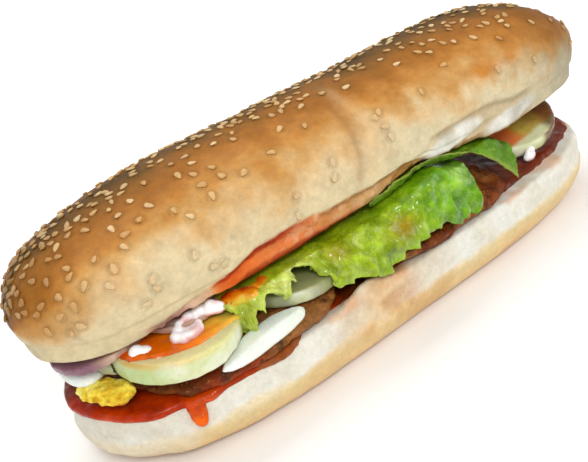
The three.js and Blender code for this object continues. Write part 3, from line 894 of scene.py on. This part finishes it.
def ketchup_profile():
    """Evenly spaced side rows of the lower half, and how far each lies below the brim."""
    profile = heel_profile()
    profile = profile[profile[:, 2] > LOWEST_Z]
    run = path_run(profile[:, 1:3])
    fine = np.linspace(0, run[-1], SIDE_ROWS)
    profile = np.stack([np.interp(fine, run, column) for column in profile.T], -1)
    return profile, np.interp(BRIM_Z, profile[:, 2], fine) - fine


def ketchup_grid():
    """A sheet over the lower half: points, faces, depth below the brim, and what is at the back."""
    profile, below = ketchup_profile()
    xs, ys, zs = heel_sheets(profile, 520, TOP_ROWS)
    side, top = np.broadcast_to(below, xs[0].shape), np.full(xs[1].shape, -9.0)
    points = np.stack([np.hstack(xs), np.hstack(ys) + HEEL_Y, np.hstack(zs)], -1)
    over = np.hstack([side, top, side[:, ::-1]])
    back = np.hstack([0 * side, 0 * top, 1 + 0 * side]) > 0
    return points.reshape(-1, 3), grid_quads(*over.shape), over.ravel(), back.ravel()


def ketchup_edge(points, back):
    """How far down the side the ketchup runs at each point, and the share of the drip there."""
    x, along = points[:, 0], stretched(points, 1, 0, 0)
    front_edge = np.interp(x, OVERFLOW_X, OVERFLOW) + 0.35 * noise(along, 5, 81)
    back_edge = -0.6 + 0.9 * noise(along, 11, 83) + 1.4 * smooth(-x, 91, 99)
    drip = ~back * np.sqrt(np.clip(1 - ((x - DRIP_X) / DRIP_WIDTH) ** 2, 0, 1))
    edge = np.where(back, back_edge, front_edge)
    return edge + DRIP_RUN * drip**0.7 + 0.5 * ~back * bell(x - DRIP_X, 3.5), drip


def ketchup_colour(p, bead, over):
    x, y, _ = p.T
    # The drip's bead is lighter and more orange: a painted highlight.
    tone = 0.5 + 0.3 * fractal(p, 7, 3, 87) + 0.4 * bead + 0.12 * smooth(over, -1, 2)
    front = (y < -15) * fade(x, -44, -38)
    return layered(
        ramp(tone, [(0, (132, 26, 0)), (0.5, (176, 48, 0)), (0.8, (206, 74, 2)), (1.1, (232, 100, 10))]),
        ((148, 50, 0), 0.6 * front * smooth(x, -76, -70)),
        ((132, 76, 30), 0.75 * front * smooth(x + 3 * noise(p, 3, 88), -65, -57)),
        ((94, 34, 0), 0.85 * smooth(x, 10, 50)),
        # Dark brown by the hump, at the kebab's right end: partly the kebab's colour, partly painted shade.
        ((74, 36, 10), 0.92 * bell(x + 18, 16) * (y < -15)),
        # Dark brown at the back of the left end, under the egg white: painted shadow.
        ((70, 28, 12), 0.8 * smooth(y, -4, 5) * smooth(-x, 84, 92)),
    )


def build_ketchup():
    points, quads, over, back = ketchup_grid()
    edge, drip = ketchup_edge(points, back)
    room = edge - over
    keep = (room > -1.0)[quads].any(axis=1)
    shell = mesh_object("ketchup_spread", points, quads[keep])
    p, normals = points_of(shell), normals_of(shell)
    near = nearest(points, p)
    room, drip, over = room[near], drip[near], over[near]
    if normals[np.argmax(p[:, 2] - np.abs(p[:, 0]) * 0.1), 2] < 0:
        normals = -normals
    bead = smooth(drip, 0.1, 0.7) * smooth(over, 1, 4)
    thick = 1.0 + 0.3 * fractal(p, 6, 2, 85) + 0.5 * smooth(over, -1, 1) * (room > 0) + 0.9 * bead
    height = -1.5 + (thick + 1.5) * np.sqrt(np.clip((room + 0.5) / 1.8, 0, 1))
    move_points(shell, p + normals * height[:, None])
    finish_piece(shell, ketchup_colour(p, bead, over), KETCHUP, "ketchup", "ketchup_layer")


# ------------------------------------------------------------------ fillings


FRIED = [(-0.2, (66, 26, 2)), (0.35, (112, 50, 10)), (0.7, (146, 76, 24)), (1.1, (170, 104, 46))]


def build_kebabs():
    for node in ("kebab_1", "kebab_2"):
        piece = refined(node, "fried_" + node, 0.75, 4)
        p = points_of(piece)
        low = smooth(-p[:, 1], 14, 30) * fade(p[:, 2], 22.5, 25.5)
        p[:, 1] -= 1.1 * low
        p[:, 2] -= 1.3 * low * fade(p[:, 2], 21.9, 24)
        move_points(piece, p)
        p = roughened(piece, (0.42, 4.2, 3, 91), (0.22, 1.3, 1, 93), sink=0.1)
        x, _, z = p.T
        colour = layered(
            ramp(0.5 + 0.5 * fractal(p, 6, 3, 95), FRIED),
            ((164, 112, 56), 0.6 * smooth(x, -62, -50) * (x < 0)),
            ((150, 50, 6), 0.65 * fade(z + 1.5 * noise(p, 3, 97), 24, 26) * window(x, -79, -73, -62, -55)),
            ((60, 22, 0), 0.5 * fade(x, -84, -76)),
        )
        finish_piece(piece, colour, MINCE, "kebab", node)


BOILED = [(-1, (226, 232, 218)), (0.2, (236, 241, 233)), (1, (243, 246, 243))]


def narrowed(p):
    """The wedge of egg white, drawn in towards its two tips."""
    x, y, z = p.T
    narrow = 0.4 + 0.6 * smooth(x, -71.5, -60) - 0.22 * smooth(x, -52, -42)
    base, front = z.min() + 2, y.min()
    return np.stack([x, front + (y - front) * (0.5 + 0.5 * narrow), base + (z - base) * narrow], -1)


def build_egg_whites():
    for node in ("egg_white_1", "egg_white_2"):
        piece = refined(node, "boiled_" + node, 0.4, 4)
        p = roughened(piece, (0.16, 7, 2, 101), (0.03, 1.2, 1, 103))
        if node == "egg_white_2":
            p = narrowed(p)
            move_points(piece, p)
        finish_piece(piece, ramp(fractal(p, 9, 2, 105), BOILED), EGG_WHITE, "egg_white", node)


CRUMBLED = [(-1, (200, 150, 30)), (-0.3, (238, 202, 58)), (0.4, (248, 224, 80)), (1, (251, 238, 140))]


def build_yolk():
    piece = refined("egg_yolk", "crumbled_yolk", 0.36, 3)
    p = roughened(piece, (0.55, 2.6, 3, 107), (0.34, 0.9, 1, 109))
    x, _, z = p.T
    colour = layered(
        ramp(fractal(p, 2.4, 3, 111) + 0.09 * (z - 26), CRUMBLED),
        ((196, 92, 20), 0.8 * fade(z, 23.8, 25.2)),
        # Olive at the yolk's right side: painted shade.
        ((150, 130, 34), 0.7 * smooth(x, -94, -90) * smooth(fractal(p, 2.2, 2, 112), -0.1, 0.4)),
    )
    finish_piece(piece, colour, YOLK, "egg_yolk", "egg_yolk")


# centre along and across the roll, and radius
CUCUMBERS = {
    "cucumber_1": (-73.5, -17.5, 18.0),
    "cucumber_2": (-79, -4.5, 17.0),
    "cucumber_3": (-34, -12.5, 19.5),
    "cucumber_4": (72, -5.5, 19.5),
    "cucumber_5": (16, 8, 20.0),
}
FLESH = [(0, (192, 196, 138)), (0.55, (200, 202, 148)), (0.8, (210, 210, 172)), (1, (204, 208, 158))]
RIM = [(-0.8, (206, 212, 160)), (0, (216, 220, 182)), (0.8, (222, 224, 200))]
SHADE, SHADE_SHARE = (104, 106, 18), 0.74
SOAKED = [(-92, (210, 140, 34)), (-84, (222, 176, 62)), (-72, (226, 212, 116)), (-60, (206, 198, 96))]
# sauce on the right slice by place along the roll; its dark last stop is painted shade under the upper half
REDDENED = [
    (60, (200, 72, 10)), (66, (216, 106, 18)), (70, (190, 158, 52)), (77, (172, 140, 50)),
    (82, (112, 58, 18)),
]


def polar(p, x, y, radius):
    """Distance from a slice's centre as a share of its radius, and the direction."""
    return np.hypot(p[:, 0] - x, p[:, 1] - y) / radius, np.arctan2(p[:, 1] - y, p[:, 0] - x)


def above_middle(p):
    """Height above the sloping middle plane of a slice."""
    across = np.column_stack([p[:, :2], np.ones(len(p))])
    return p[:, 2] - across @ np.linalg.lstsq(across, p[:, 2], rcond=None)[0]


def slice_colour(p, face, away, turn):
    """Pale flesh with a ring of pips on the face, and a streaked rim."""
    pips = smooth(np.sin(turn * 15 + 2 * noise(p, 9, 125)), 0.2, 0.9) * bell(away - 0.42, 0.11)
    flesh = layered(
        ramp(away, FLESH),
        ((216, 212, 176), 0.6 * face * pips),
        ((176, 182, 112), 0.45 * face * bell(away - 0.42, 0.2)),
    )
    return blend(ramp(fractal(stretched(p, 1, 1, 2.5), 6, 3, 127), RIM), flesh, face)


def sauced_and_shaded_slice(colour, p, face):
    """The front slice: green at its left, painted shade in olive at its right, soaked under the sauce."""
    x = p[:, 0]
    soak = smooth(above_middle(p) + 0.7 * noise(p, 4, 132), 1.3, 3.2) * (1 - 0.5 * face)
    colour = layered(
        colour,
        ((160, 188, 88), 0.6 * smooth(-x, 82, 89) * (1 - face)),
        # Olive at the right end: painted shade.
        ((170, 168, 70), 0.75 * smooth(x + 2 * noise(p, 5, 128), -63, -57)),
    )
    return blend(colour, ramp(x, SOAKED), 0.7 * soak)


def shaded_slice(colour, *_):
    return layered(colour, (SHADE, SHADE_SHARE * 0.6))


def lit_slice(colour, p, face):
    """A slice in shade but for one stretch of its rim."""
    lit = bell(p[:, 0] + 42 + 1.5 * noise(p, 4, 130), 5) * (1 - face)
    return layered(colour, (SHADE, SHADE_SHARE * (0.95 - 0.75 * lit)))


def right_slice(colour, p, face):
    """The slice at the right end: sauce over its face, darker at its right as painted shade, ketchup smeared
    low on its rim, painted shade in olive over its right part, and the right of its rim dark red-brown,
    partly ketchup and partly painted shade.
    """
    x, y, z = p.T
    wander = 2 * noise(p, 5, 129)
    sauce = smooth(y + 20.4 + wander, -0.8, 1.4) * (z > 26)
    smear = fade(above_middle(p) + 0.4 * noise(p, 3, 131), -1.6, -0.9)
    # Olive over the right part: painted shade.
    colour = layered(colour, ((92, 74, 28), 0.9 * smooth(x + wander, 75, 80)))
    return layered(
        blend(colour, ramp(x + wander, REDDENED), 0.9 * sauce),
        ((112, 46, 12), 0.85 * smear * smooth(x, 64, 70)),
        # Dark red-brown right rim: partly ketchup, partly painted shade.
        ((104, 58, 22), 0.88 * smooth(x + 0.4 * wander, 70.5, 74.5) * (1 - face)),
    )


# Sauce and painted shade, with a painted lit stretch, laid over some of the slices.
SLICE_SAUCE_AND_SHADE = {
    "cucumber_1": sauced_and_shaded_slice,
    "cucumber_2": shaded_slice,
    "cucumber_3": lit_slice,
    "cucumber_4": right_slice,
}


def build_cucumbers():
    pieces = {}
    for node, place in CUCUMBERS.items():
        piece = pieces[node] = refined(node, "sliced_" + node, 0.45, 6)
        p = roughened(piece, (0.1, 5, 2, 121), (0.035, 1.1, 1, 123))
        face = smooth(np.abs(normals_of(piece)[:, 2]), 0.6, 0.95)
        colour = slice_colour(p, face, *polar(p, *place))
        if node in SLICE_SAUCE_AND_SHADE:
            colour = SLICE_SAUCE_AND_SHADE[node](colour, p, face)
        finish_piece(piece, colour, CUCUMBER, "cucumber", node)
    return pieces["cucumber_1"]


ONION_RINGS = (0.3, 0.5, 0.68, 0.85)
ONION_FLESH = [(-1, (184, 148, 130)), (0, (204, 172, 154)), (1, (220, 196, 184))]
ONION_SKIN = [(-1, (136, 96, 82)), (0, (170, 134, 114)), (1, (196, 168, 144))]
ONIONS = {"onion_1": (-88, -5, 15.5), "onion_2": (-69, -13.5, 12.5)}


def build_onions():
    for node, place in ONIONS.items():
        piece = refined(node, "sliced_" + node, 0.34, 3)
        p = roughened(piece, (0.12, 4, 2, 131))
        away, _ = polar(p, *place)
        rings = sum(bell(away - ring, 0.025) for ring in ONION_RINGS)
        flesh = layered(ramp(fractal(p, 5, 2, 133), ONION_FLESH), ((140, 88, 96), 0.65 * rings))
        colour = blend(flesh, ramp(fractal(p, 4, 3, 135), ONION_SKIN), smooth(away, 0.9, 0.99))
        colour = layered(colour, ((122, 80, 104), 0.85 * smooth(-p[:, 0], 92, 98)))
        finish_piece(piece, colour, ONION, "onion", node)


# ------------------------------------------------------------------ lettuce


def spline(points, shares):
    """A smooth curve through the points, at shares of its length."""
    points = np.array(points, float)
    chord = path_run(points, 0.5)
    slope = np.gradient(points, chord, axis=0)
    t = np.linspace(0, chord[-1], 1200)
    i = np.clip(np.searchsorted(chord, t, side="right") - 1, 0, len(chord) - 2)
    h = (chord[i + 1] - chord[i])[:, None]
    a = (t - chord[i])[:, None] / h
    ease = a * a * (3 - 2 * a)
    curve = points[i] * (1 - ease) + points[i + 1] * ease
    curve += (a**3 - 2 * a**2 + a) * h * slope[i] + (a**3 - a**2) * h * slope[i + 1]
    run = path_run(curve)
    wanted = np.clip(shares, 0, 1) * run[-1]
    return np.stack([np.interp(wanted, run, part) for part in curve.T], -1)


BRIGHT_EDGE = [
    (-62, -26, 38), (-58, -28, 29.8), (-54.5, -32.3, 33.4), (-49.5, -30.5, 35.8), (-45, -31, 33.6),
    (-39, -28.5, 37.3), (-32.5, -29.5, 33.2), (-28.2, -34, 26.4), (-21.5, -36.3, 27.8), (-12, -37, 23.9),
    (-4, -37, 27.6), (5, -36.6, 28), (14.5, -36, 26.2), (23.7, -35.2, 23), (29, -33, 25.5),
]
DARK_EDGE = [
    (-8, -26, 41.5), (-1, -27, 43.2), (6, -27.4, 44.5), (13, -27.6, 44.8), (20, -28, 44.3),
    (27, -28.6, 42.4), (33, -29.4, 39.6), (39.3, -30.2, 34.8), (45, -30.6, 29), (50.2, -30.8, 23),
]
BRIGHT = {
    "edge": BRIGHT_EDGE, "back": (-84, 30), "level": 37.3, "slope": 0.5, "dip": 0.3, "brow": -27, "bend": 0.5,
    "ruffles": 6.5, "reach": 1.4, "lift": (18, 30), "frill": (17, 0.7), "droop": 0,
    "grid": (470, 100), "thickness": 0.5, "crinkle": 4.4, "rag": 0.045, "seed": 141,
}
DARK = {
    "edge": DARK_EDGE, "back": (31, 66), "level": 38.5, "slope": 0.9, "dip": 0, "brow": -26, "bend": 0.6,
    "ruffles": 3.3, "reach": 0.2, "lift": (90, 100), "frill": (7, 0.15), "droop": 3,
    "grid": (170, 110), "thickness": 0.55, "crinkle": 3.4, "rag": 0.008, "seed": 151,
}
FRILL, FRILL_Y, FRILL_REACH, FRILL_DROP = 0.2, 27.0, 5.5, 9.0
BEHIND, LEAF_STEP, LEAF_LENGTH = 0.42, 0.004, 120


def under_top(y):
    return (TOP_PLACE[1] - y) * math.tan(-TOP_TILT)


def leaf_middle(leaf, u, v):
    """Middle of a leaf: u along it, v from its back edge to its hanging front edge."""
    edge = spline(leaf["edge"], u)
    bend = np.clip((v - leaf["bend"]) / (1 - leaf["bend"]), 0, None)
    back = np.clip(1 - v / FRILL, 0, None)
    flat = np.clip((v - FRILL) / (leaf["bend"] - FRILL), 0, 1)
    brow = edge[:, 1] * 0.25 + leaf["brow"] * 0.75
    wave = np.sin(2 * math.pi * (leaf["ruffles"] * u + 0.5 * np.sin(4 * v)))
    frills, size = leaf["frill"]
    frill = np.sin(2 * math.pi * (frills * u + 0.3 * np.sin(9 * u)) + 2.5 * v)
    curl = np.sin(np.clip(bend, 0, 1.15) * math.pi / 2)
    front_y = (edge[:, 1] - brow) * curl - leaf["reach"] * wave * bend - size * frill * smooth(bend, 0.45, 1)
    back_y = FRILL_REACH * np.sin(np.clip(back, 0, 1) * math.pi / 2) + 1.2 * wave * back + 0.8 * frill * back
    x = (leaf["back"][0] * (1 - u) + leaf["back"][1] * u) * (1 - flat) + edge[:, 0] * flat
    y = FRILL_Y * (1 - flat) + brow * flat + front_y + back_y
    lift = edge_rise(x, np.maximum(y, brow)) * (1 - smooth(x, *leaf["lift"]))
    dip = leaf["dip"] * smooth(edge[:, 0], -16, 2)
    droop = leaf["droop"] * smooth(u, 0.78, 1) * smooth(v, 0.25, 0.6)
    level = leaf["level"] - dip - droop + leaf["slope"] * under_top(np.maximum(y, brow)) + lift
    inner = level + 0.4 * wave * np.clip(1 - bend, 0, 1) * (1 - np.clip(back, 0, 1)) - FRILL_DROP * back**1.7
    hang = bend**1.7
    z = inner * (1 - hang) + edge[:, 2] * hang
    return np.stack([x + 0.8 * size * frill * smooth(bend, 0.5, 1), y, z], -1)


def leaf_lumps(leaf, centre, v):
    """How far the crinkles lift each place of a leaf's middle."""
    size, seed = leaf["crinkle"], leaf["seed"]
    shown = np.maximum(smooth(v, 0.45, 0.62), fade(v, 0.16, 0.3))
    ridged = 1 - 2 * np.abs(noise(centre, size, seed + 3))
    return size * 0.17 * shown * (0.5 * ridged + 0.6 * noise(centre, size * 0.5, seed + 5))


def leaf_rag(leaf, u, v):
    """How far the leaf's edges run out or in, as a share of its depth."""
    seed, line = leaf["seed"], np.outer(u, (LEAF_LENGTH, 0, 0))
    left = fade(u, 0.36, 0.46)
    jag = fractal(line, 4, 3, seed) + 1.3 * left * noise(line, 0.75, seed + 7)
    ragged = leaf["rag"] * (0.5 + left) * jag * smooth(v, 0.78, 1)
    return ragged - 0.02 * fractal(line, 5, 3, seed + 1) * fade(v, 0, 0.2)


def leaf_piece(name, leaf):
    """A thin closed leaf, crinkled and with a ragged edge, and the v of each of its points."""
    rows, columns = leaf["grid"]
    few = columns // 4
    across = np.concatenate([np.linspace(0, BEHIND, few)[:-1], np.linspace(BEHIND, 1, columns - few + 1)])
    u, v = (part.ravel() for part in np.meshgrid(np.linspace(0, 1, rows), across, indexing="ij"))
    w, step = v + leaf_rag(leaf, u, v), LEAF_STEP
    centre = leaf_middle(leaf, u, w)
    before, after = np.clip(u - step, 0, 1), np.clip(u + step, 0, 1)
    along = leaf_middle(leaf, after, w) - leaf_middle(leaf, before, w)
    normal = np.cross(along, leaf_middle(leaf, u, w + step) - leaf_middle(leaf, u, w - step))
    normal /= np.maximum(np.linalg.norm(normal, axis=1, keepdims=True), 1e-9)
    centre = centre + normal * leaf_lumps(leaf, centre, v)[:, None]
    half = normal * leaf["thickness"] / 2
    points = np.vstack([centre + half, centre - half])
    quads, total = grid_quads(rows, columns), rows * columns
    index = np.arange(total).reshape(rows, columns)
    border = np.concatenate([index[0, :-1], index[:-1, -1], index[-1, :0:-1], index[:0:-1, 0]])
    following = np.roll(border, -1)
    rim = np.stack([border, following, following + total, border + total], -1)
    piece = mesh_object(name, points, np.vstack([quads, quads[:, ::-1] + total, rim]), merge=0.0005)
    return piece, v[nearest(points, points_of(piece)) % total]


GREEN = [(-0.2, (70, 116, 2)), (0.3, (104, 152, 6)), (0.7, (130, 176, 16)), (1.2, (178, 206, 70))]
YELLOW = [(-0.2, (108, 128, 2)), (0.3, (146, 164, 10)), (0.7, (170, 188, 30)), (1.2, (204, 216, 96))]
PALE = [(0, (172, 186, 50)), (0.6, (194, 208, 90)), (1.1, (212, 222, 132))]
DARK_GREEN = [(-0.1, (62, 98, 4)), (0.4, (84, 128, 8)), (0.8, (102, 148, 18)), (1.1, (122, 166, 38))]


def build_bright_leaf():
    piece, v = leaf_piece("bright_leaf", BRIGHT)
    p = points_of(piece)
    x = p[:, 0]
    tone = 0.5 + 0.4 * fractal(p, 6, 3, 143) + 0.25 * fractal(p, 1.8, 2, 145)
    colour = blend(ramp(tone, GREEN), ramp(tone, YELLOW), 0.75 * fade(x + 8 * noise(p, 9, 144), -22, 8))
    colour = blend(colour, ramp(tone, PALE), 0.85 * fade(x, -44, -28) * smooth(v, 0.5, 0.65))
    colour = colour * (1 - np.outer(smooth(x, 4, 18), (0.28, 0.13, 0.5)))
    # A painted highlight near the leaf's upper right.
    lit = spot(p, (24.5, -32, 38), 3.2, noise(p, 3, 146), x=0.8, y=0.5)
    stain = spot(p, (-4, -35, 34), 2.6, x=0.45, y=0.5, z=0.8)
    stain = np.maximum(stain, 0.8 * spot(p, (-27, -33, 37), 1.8, x=0.5, y=0.5))
    colour = layered(
        colour,
        ((168, 206, 96), 0.7 * lit),
        ((168, 196, 56), 0.4 * smooth(v, 0.86, 1.0) * fade(x, 0, 16)),
        ((160, 112, 6), 0.75 * stain),
    )
    finish_piece(piece, colour, LEAF, "lettuce", "lettuce_1")
    return piece


def build_dark_leaf():
    piece, v = leaf_piece("dark_leaf", DARK)
    p = points_of(piece)
    colour = layered(
        ramp(0.5 + 0.4 * fractal(p, 9, 3, 153), DARK_GREEN),
        # Darker over the hanging left part, in the gap under the upper half: painted shade.
        ((62, 78, 6), 0.5 * fade(p[:, 0], 16, 34) * smooth(v, 0.5, 0.7)),
        # Lighter along the front edge: painted light.
        ((146, 158, 66), 0.75 * smooth(v, 0.93, 0.98)),
    )
    finish_piece(piece, colour, LEAF_DARK, "lettuce_dark", "lettuce_2")


# ------------------------------------------------------------------ sauces


def film(name, base, shape, thick, facing):
    """A layer of sauce on the faces of a piece that look towards facing, as thick as its shape's root."""
    points, normals = points_of(base), normals_of(base)
    share = shape(points)
    faces = np.array([list(face.vertices) for face in base.data.polygons if len(face.vertices) == 4])
    keep = (share[faces] > -0.4).all(axis=1) & ((normals[faces] @ np.array(facing)).min(axis=1) > 0)
    height = -0.5 + (thick + 0.5) * np.sqrt(np.clip(share + 0.25, 0, 1))
    return mesh_object(name, points + normals * height[:, None], faces[keep], merge=0.001)


POOL_X = [-90.5, -89.6, -86.9, -84.1, -81.4, -78.7, -75.8, -72.5, -69.1, -65.3, -61.5, -57]
POOL_Y = [-18, -22.6, -25.3, -27.4, -28.7, -29.9, -30.8, -31.3, -30.8, -29.9, -28.8, -27]


POOL_COLOURS = [
    (-92, (170, 50, 0)), (-86, (214, 92, 0)), (-78, (232, 114, 2)), (-72, (238, 150, 30)),
    (-67, (236, 184, 62)), (-62, (216, 182, 66)), (-58, (186, 170, 60)),
]


def pool_shape(p):
    x, y, z = p.T
    front = np.interp(x, POOL_X, POOL_Y) + 0.4 * noise(p, 4, 161)
    return np.minimum.reduce([(y - front) / 1.3, (x + 90.2) / 1.5, (z - 33) / 1.5])


def build_orange_sauce(cucumber):
    piece = film("orange_sauce", cucumber, pool_shape, 0.85, (0, -0.2, 1))
    p = roughened(piece, (0.2, 6, 2, 162))
    tone = p[:, 0] + 3 * fractal(p, 5, 2, 163) + 0.5 * (p[:, 1] + 25)
    finish_piece(piece, ramp(tone, POOL_COLOURS), ORANGE_SAUCE, "ketchup")


GOLD_SPOTS = [
    (-59.5, -25.0, 39.0), (-56.8, -25.8, 39.4), (-54.0, -26.0, 39.4), (-51.2, -25.8, 39.4),
    (-48.5, -25.6, 39.4), (-57.6, -27.6, 38.8), (-54.2, -28.2, 38.8),
]
GOLD = [(36.5, (214, 192, 60)), (38.4, (230, 160, 30)), (39.6, (218, 108, 10)), (40.8, (180, 50, 2))]


def gold_shape(p):
    reach = np.min([np.linalg.norm(p - np.array(place), axis=1) for place in GOLD_SPOTS], axis=0)
    return (2.5 - reach + 0.6 * noise(p, 3.0, 164)) / 1.6


def build_golden_sauce(leaf):
    piece = film("golden_sauce", leaf, gold_shape, 0.6, (-0.2, -0.6, 0.8))
    p = roughened(piece, (0.14, 3.0, 2, 165))
    tone = p[:, 2] + 0.4 * (p[:, 1] + 27) + 1.2 * fractal(p, 2.6, 2, 167)
    finish_piece(piece, ramp(tone, GOLD), ORANGE_SAUCE, "ketchup")


# centre, half sizes and turn of each dab
DABS = [
    ((-86.3, -21.8, 36.7), (2.5, 2.1, 2.0), 15), ((-84.4, -22.6, 36.3), (2.1, 2.0, 1.6), 0),
    ((-76.7, -26.0, 36.9), (1.7, 1.9, 1.7), 0), ((-75.0, -27.2, 36.6), (2.2, 1.9, 1.8), 20),
    ((-72.6, -27.6, 36.5), (2.2, 1.7, 1.6), 10), ((-70.4, -27.0, 36.6), (2.0, 1.4, 1.4), 40),
    ((-69.6, -25.4, 36.9), (1.7, 1.3, 1.3), 60), ((-73.0, -25.9, 36.6), (2.2, 1.6, 1.4), 0),
    ((-71.2, -25.5, 36.5), (1.6, 1.3, 1.0), 0), ((-75.2, -24.4, 37.4), (1.5, 1.8, 1.5), 0),
    ((-73.4, -23.0, 38.0), (2.0, 1.4, 1.4), 30), ((-70.6, -22.8, 38.5), (2.4, 1.4, 1.6), 20),
    ((-67.6, -23.4, 38.6), (2.8, 1.8, 1.9), 20), ((-64.6, -24.4, 38.4), (2.8, 2.1, 2.1), 15),
    ((-62.8, -25.5, 37.8), (2.0, 1.8, 1.9), 0), ((65.0, -23.6, 22.8), (2.7, 1.5, 1.7), 0),
    ((66.0, -23.2, 24.0), (2.3, 1.4, 1.8), 0),
]
CREAM = [(-0.9, (222, 170, 166)), (-0.3, (238, 210, 208)), (0.2, (248, 238, 239)), (0.6, (252, 250, 251))]


def build_mayonnaise():
    piece = pooled("mayonnaise_dabs", DABS, 0.28, 12)
    p = roughened(piece, (0.2, 2.4, 2, 171))
    # Whiter where a dab faces up and pinker down its sides: painted shade; the dabs at the right end are
    # whiter.
    tone = fractal(p, 3, 2, 173) + 0.8 * (normals_of(piece)[:, 2] - 0.35) + (p[:, 0] > 0)
    finish_piece(piece, ramp(tone, CREAM), MAYO, "egg_white")


build_top()
build_heel()
build_ketchup()
build_kebabs()
build_egg_whites()
build_yolk()
front_slice = build_cucumbers()
build_onions()
bright_leaf = build_bright_leaf()
build_dark_leaf()
build_orange_sauce(front_slice)
build_golden_sauce(bright_leaf)
build_mayonnaise()

# ------------------------------------------------------------------ stage, light and camera


FLOOR_REACH, FLOOR_Z = 1600, -0.05
LAMPS = {
    "key": ((-0.35, -0.75, 0.75), (0, 0, 0.03), (0.42, 0.3), 5.2),
    "fill": ((0.7, -0.5, 0.6), (0, 0, 0.03), (0.8, 0.6), 2.2),
    "top": ((0.0, 0.35, 0.9), (0, 0, 0.03), (0.8, 0.5), 4.2),
    "backdrop": ((0.0, 0.5, 0.6), (0.3, 1.3, 0.0), (0.8, 0.4), 8),
}
SKY, SKY_STRENGTH = (0.97, 0.98, 1.0, 1), 0.58
LENS, SENSOR = 52.04, 36
EYE = Vector((-0.1416, -0.2006, 0.1509))
RIGHT, UP, BACK = (0.7604, -0.6057, -0.2342), (0.4527, 0.2387, 0.8591), (-0.4655, -0.7597, 0.4540)


def build_floor():
    side = np.linspace(-FLOOR_REACH, FLOOR_REACH, 41)
    x, y = np.meshgrid(side, side, indexing="ij")
    points = np.stack([x.ravel(), y.ravel(), np.full(x.size, FLOOR_Z)], -1)
    floor = mesh_object("floor", points, grid_quads(*x.shape))
    floor.data.materials.append(floor_material())


def build_lamps():
    for name, (place, target, size, power) in LAMPS.items():
        data = bpy.data.lights.new(name, "AREA")
        data.shape = "RECTANGLE"
        data.size, data.size_y = size
        data.energy = power
        lamp = placed(name, data)
        lamp.location = place
        lamp.rotation_euler = (Vector(target) - Vector(place)).to_track_quat("-Z", "Y").to_euler()


def build_sky():
    world = bpy.data.worlds.new("studio")
    world.use_nodes = True
    background = world.node_tree.nodes["Background"]
    background.inputs["Color"].default_value = SKY
    background.inputs["Strength"].default_value = SKY_STRENGTH
    bpy.context.scene.world = world


def build_camera():
    data = bpy.data.cameras.new("camera")
    data.sensor_fit = "HORIZONTAL"
    data.sensor_width = SENSOR
    data.lens = LENS
    data.clip_start = 0.01
    camera = placed("camera", data)
    matrix = Matrix((RIGHT, UP, BACK)).transposed().to_4x4()
    matrix.translation = EYE
    camera.matrix_world = matrix
    bpy.context.scene.camera = camera


build_floor()
build_lamps()
build_sky()
build_camera()
bpy.context.scene.view_settings.view_transform = "Standard"
